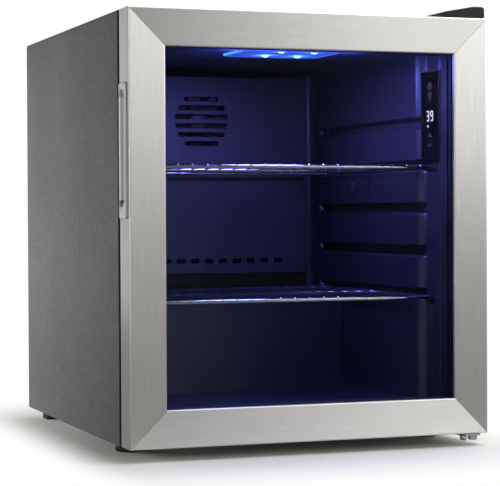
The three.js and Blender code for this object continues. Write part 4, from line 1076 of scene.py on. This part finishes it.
# ---- floor and light ------------------------------------------------------------------------
# A pale floor that fades out to white, and a sky that is brightest above and to the right. Soft boxes
# stand overhead, behind, and at the left for the door's edge and the side's foot; two more give the
# lamp's blue light, one down into the room and one up on to its ceiling.
def straight_view(nodes, link):
    """A socket that is 1 for a camera ray, and for one that has passed glass but met nothing else:
    camera + transmission * (diffuse depth + glossy depth < a half)."""
    path = nodes.new("ShaderNodeLightPath")
    bounces, none_yet, through = (nodes.new("ShaderNodeMath") for _ in range(3))
    bounces.operation, none_yet.operation, through.operation = "ADD", "LESS_THAN", "MULTIPLY_ADD"
    link(path.outputs["Diffuse Depth"], bounces.inputs[0])
    link(path.outputs["Glossy Depth"], bounces.inputs[1])
    link(bounces.outputs["Value"], none_yet.inputs[0])
    none_yet.inputs[1].default_value = 0.5
    link(path.outputs["Is Transmission Ray"], through.inputs[0])
    link(none_yet.outputs["Value"], through.inputs[1])
    link(path.outputs["Is Camera Ray"], through.inputs[2])
    return through.outputs["Value"]


def fading_floor():
    """Matt pale floor that turns by degrees to plain white: the fade goes by the distance from the
    fridge's footprint, with the part of it across the fridge counting three times. The white is
    dimmed for every ray but a straight view."""
    material = bpy.data.materials.new("pale_floor")
    material.use_nodes = True
    nodes, link = material.node_tree.nodes, material.node_tree.links.new
    shader = nodes["Principled BSDF"]
    shader.inputs["Base Color"].default_value = (0.86, 0.86, 0.82, 1)
    shader.inputs["Roughness"].default_value = 0.7
    shader.inputs["Specular IOR Level"].default_value = 0.2
    fade_length, dimmed = 0.24, 0.3
    place, fade = nodes.new("ShaderNodeTexCoord"), nodes.new("ShaderNodeMapRange")
    footprint = (half, cabinet_back, 0)
    past_fridge = outside_box(nodes, link, place.outputs["Object"], (0, 0, 0), footprint, weight=(3.0, 1, 1))
    link(past_fridge, fade.inputs["Value"])
    fade.interpolation_type = "SMOOTHSTEP"
    fade.inputs["From Max"].default_value = fade_length
    glow, mix = nodes.new("ShaderNodeEmission"), nodes.new("ShaderNodeMixShader")
    strength = nodes.new("ShaderNodeMapRange")
    strength.inputs["To Min"].default_value = dimmed
    link(straight_view(nodes, link), strength.inputs["Value"])
    link(strength.outputs["Result"], glow.inputs["Strength"])
    link(fade.outputs["Result"], mix.inputs["Fac"])
    link(shader.outputs["BSDF"], mix.inputs[1])
    link(glow.outputs["Emission"], mix.inputs[2])
    link(mix.outputs["Shader"], nodes["Material Output"].inputs["Surface"])
    return material


reach = 30.0
floor_mesh = bpy.data.meshes.new("floor")
floor_corners = [(-reach, -reach, 0), (reach, -reach, 0), (reach, reach, 0), (-reach, reach, 0)]
floor_mesh.from_pydata(floor_corners, [], [(0, 1, 2, 3)])
floor_mesh.materials.append(fading_floor())
floor = bpy.data.objects.new("floor", floor_mesh)
bpy.context.scene.collection.objects.link(floor)


def soft_box(name, place, aim, width, height, power, colour=(1, 1, 1), unseen_by=()):
    """A rectangular area light at place, turned to face aim, that some kinds of ray don't see."""
    data = bpy.data.lights.new(name, "AREA")
    data.shape = "RECTANGLE"
    data.size, data.size_y = width, height
    data.energy = power
    data.color = colour
    light = bpy.data.objects.new(name, data)
    light.location = place
    heading = Vector(aim) - Vector(place)
    light.rotation_euler = heading.to_track_quat("-Z", "Y").to_euler()
    bpy.context.scene.collection.objects.link(light)
    light.visible_camera = "camera" not in unseen_by
    light.visible_diffuse = "diffuse" not in unseen_by
    light.visible_glossy = "glossy" not in unseen_by
    light.visible_transmission = "transmission" not in unseen_by
    return light


lamp_x, lamp_y = 0.014, -0.12
soft_box("overhead", (0.75, -0.4, 2.4), (0, -0.1, 0.2), 1.9, 2.2, 40)
soft_box("behind_left", (-0.75, 2.6, 0.36), (-0.2, 0, 0.25), 0.8, 1.0, 5.0)
soft_box("edge_glint", (-2.2, -1.5, 0.45), (-0.2, -0.2, 0.3), 0.7, 1.3, 12.0, unseen_by=("camera", "diffuse"))
soft_box("low_left", (-0.8, 0.60, 0.10), (-0.22, 0.22, 0.03), 0.7, 0.3, 13.0, unseen_by=("camera", "glossy"))
blue_lamp = soft_box("blue_lamp", (lamp_x, lamp_y, lens_low.z - 0.002), (lamp_x, lamp_y, 0), 0.10, 0.10, 2.9,
                     (0.19, 0.18, 1.0), unseen_by=("camera", "transmission"))
ceiling_glow = soft_box("ceiling_glow", (lamp_x, lamp_y, lens_low.z - 0.04), (lamp_x, lamp_y, 1), 0.17, 0.10,
                        0.7, (0.07, 0.10, 1.0), unseen_by=("camera", "transmission"))


def keep_off(source, target):
    """Light linking: the light, or the glowing piece, doesn't shine on the target."""
    spared = bpy.data.collections.new(f"{source.name}_keeps_off")
    spared.objects.link(target)
    source.light_linking.receiver_collection = spared
    spared.collection_objects[0].light_linking.link_state = "EXCLUDE"


for source, target in ((blue_lamp, floor), (lens, floor), (ceiling_glow, lens)):
    keep_off(source, target)

world = bpy.data.worlds.new("studio")
bpy.context.scene.world = world
world.use_nodes = True
nodes, link = world.node_tree.nodes, world.node_tree.links.new


def rise(source, low, high, bottom, top):
    """A socket that goes from bottom to top, in an S, as the source goes from low to high."""
    step = nodes.new("ShaderNodeMapRange")
    step.interpolation_type = "SMOOTHSTEP"
    for socket, value in (("From Min", low), ("From Max", high), ("To Min", bottom), ("To Max", top)):
        step.inputs[socket].default_value = value
    link(source, step.inputs["Value"])
    return step.outputs["Result"]


def times(first, second):
    """The product of two sockets."""
    product = nodes.new("ShaderNodeMath")
    product.operation = "MULTIPLY"
    link(first, product.inputs[0])
    link(second, product.inputs[1])
    return product.outputs["Value"]


direction, split = nodes.new("ShaderNodeTexCoord"), nodes.new("ShaderNodeSeparateXYZ")
link(direction.outputs["Generated"], split.inputs["Vector"])
height, across = split.outputs["Z"], split.outputs["X"]
above = times(rise(height, -0.03, 0.10, 0.11, 1.75), rise(height, 0.15, 0.45, 1.0, 0.3))
sky = times(above, rise(across, 0.24, 0.46, 0.14, 1.8))
seen, mix = nodes.new("ShaderNodeBackground"), nodes.new("ShaderNodeMixShader")
nodes["Background"].inputs["Color"].default_value = (1, 1, 1, 1)
link(sky, nodes["Background"].inputs["Strength"])
seen.inputs["Color"].default_value = (1, 1, 1, 1)
link(straight_view(nodes, link), mix.inputs["Fac"])
link(nodes["Background"].outputs["Background"], mix.inputs[1])
link(seen.outputs["Background"], mix.inputs[2])
link(mix.outputs["Shader"], nodes["World Output"].inputs["Surface"])
bpy.context.scene.view_settings.view_transform = "Standard"

# ---- last update --------------------------------------------------------------------------
bpy.context.view_layer.update()
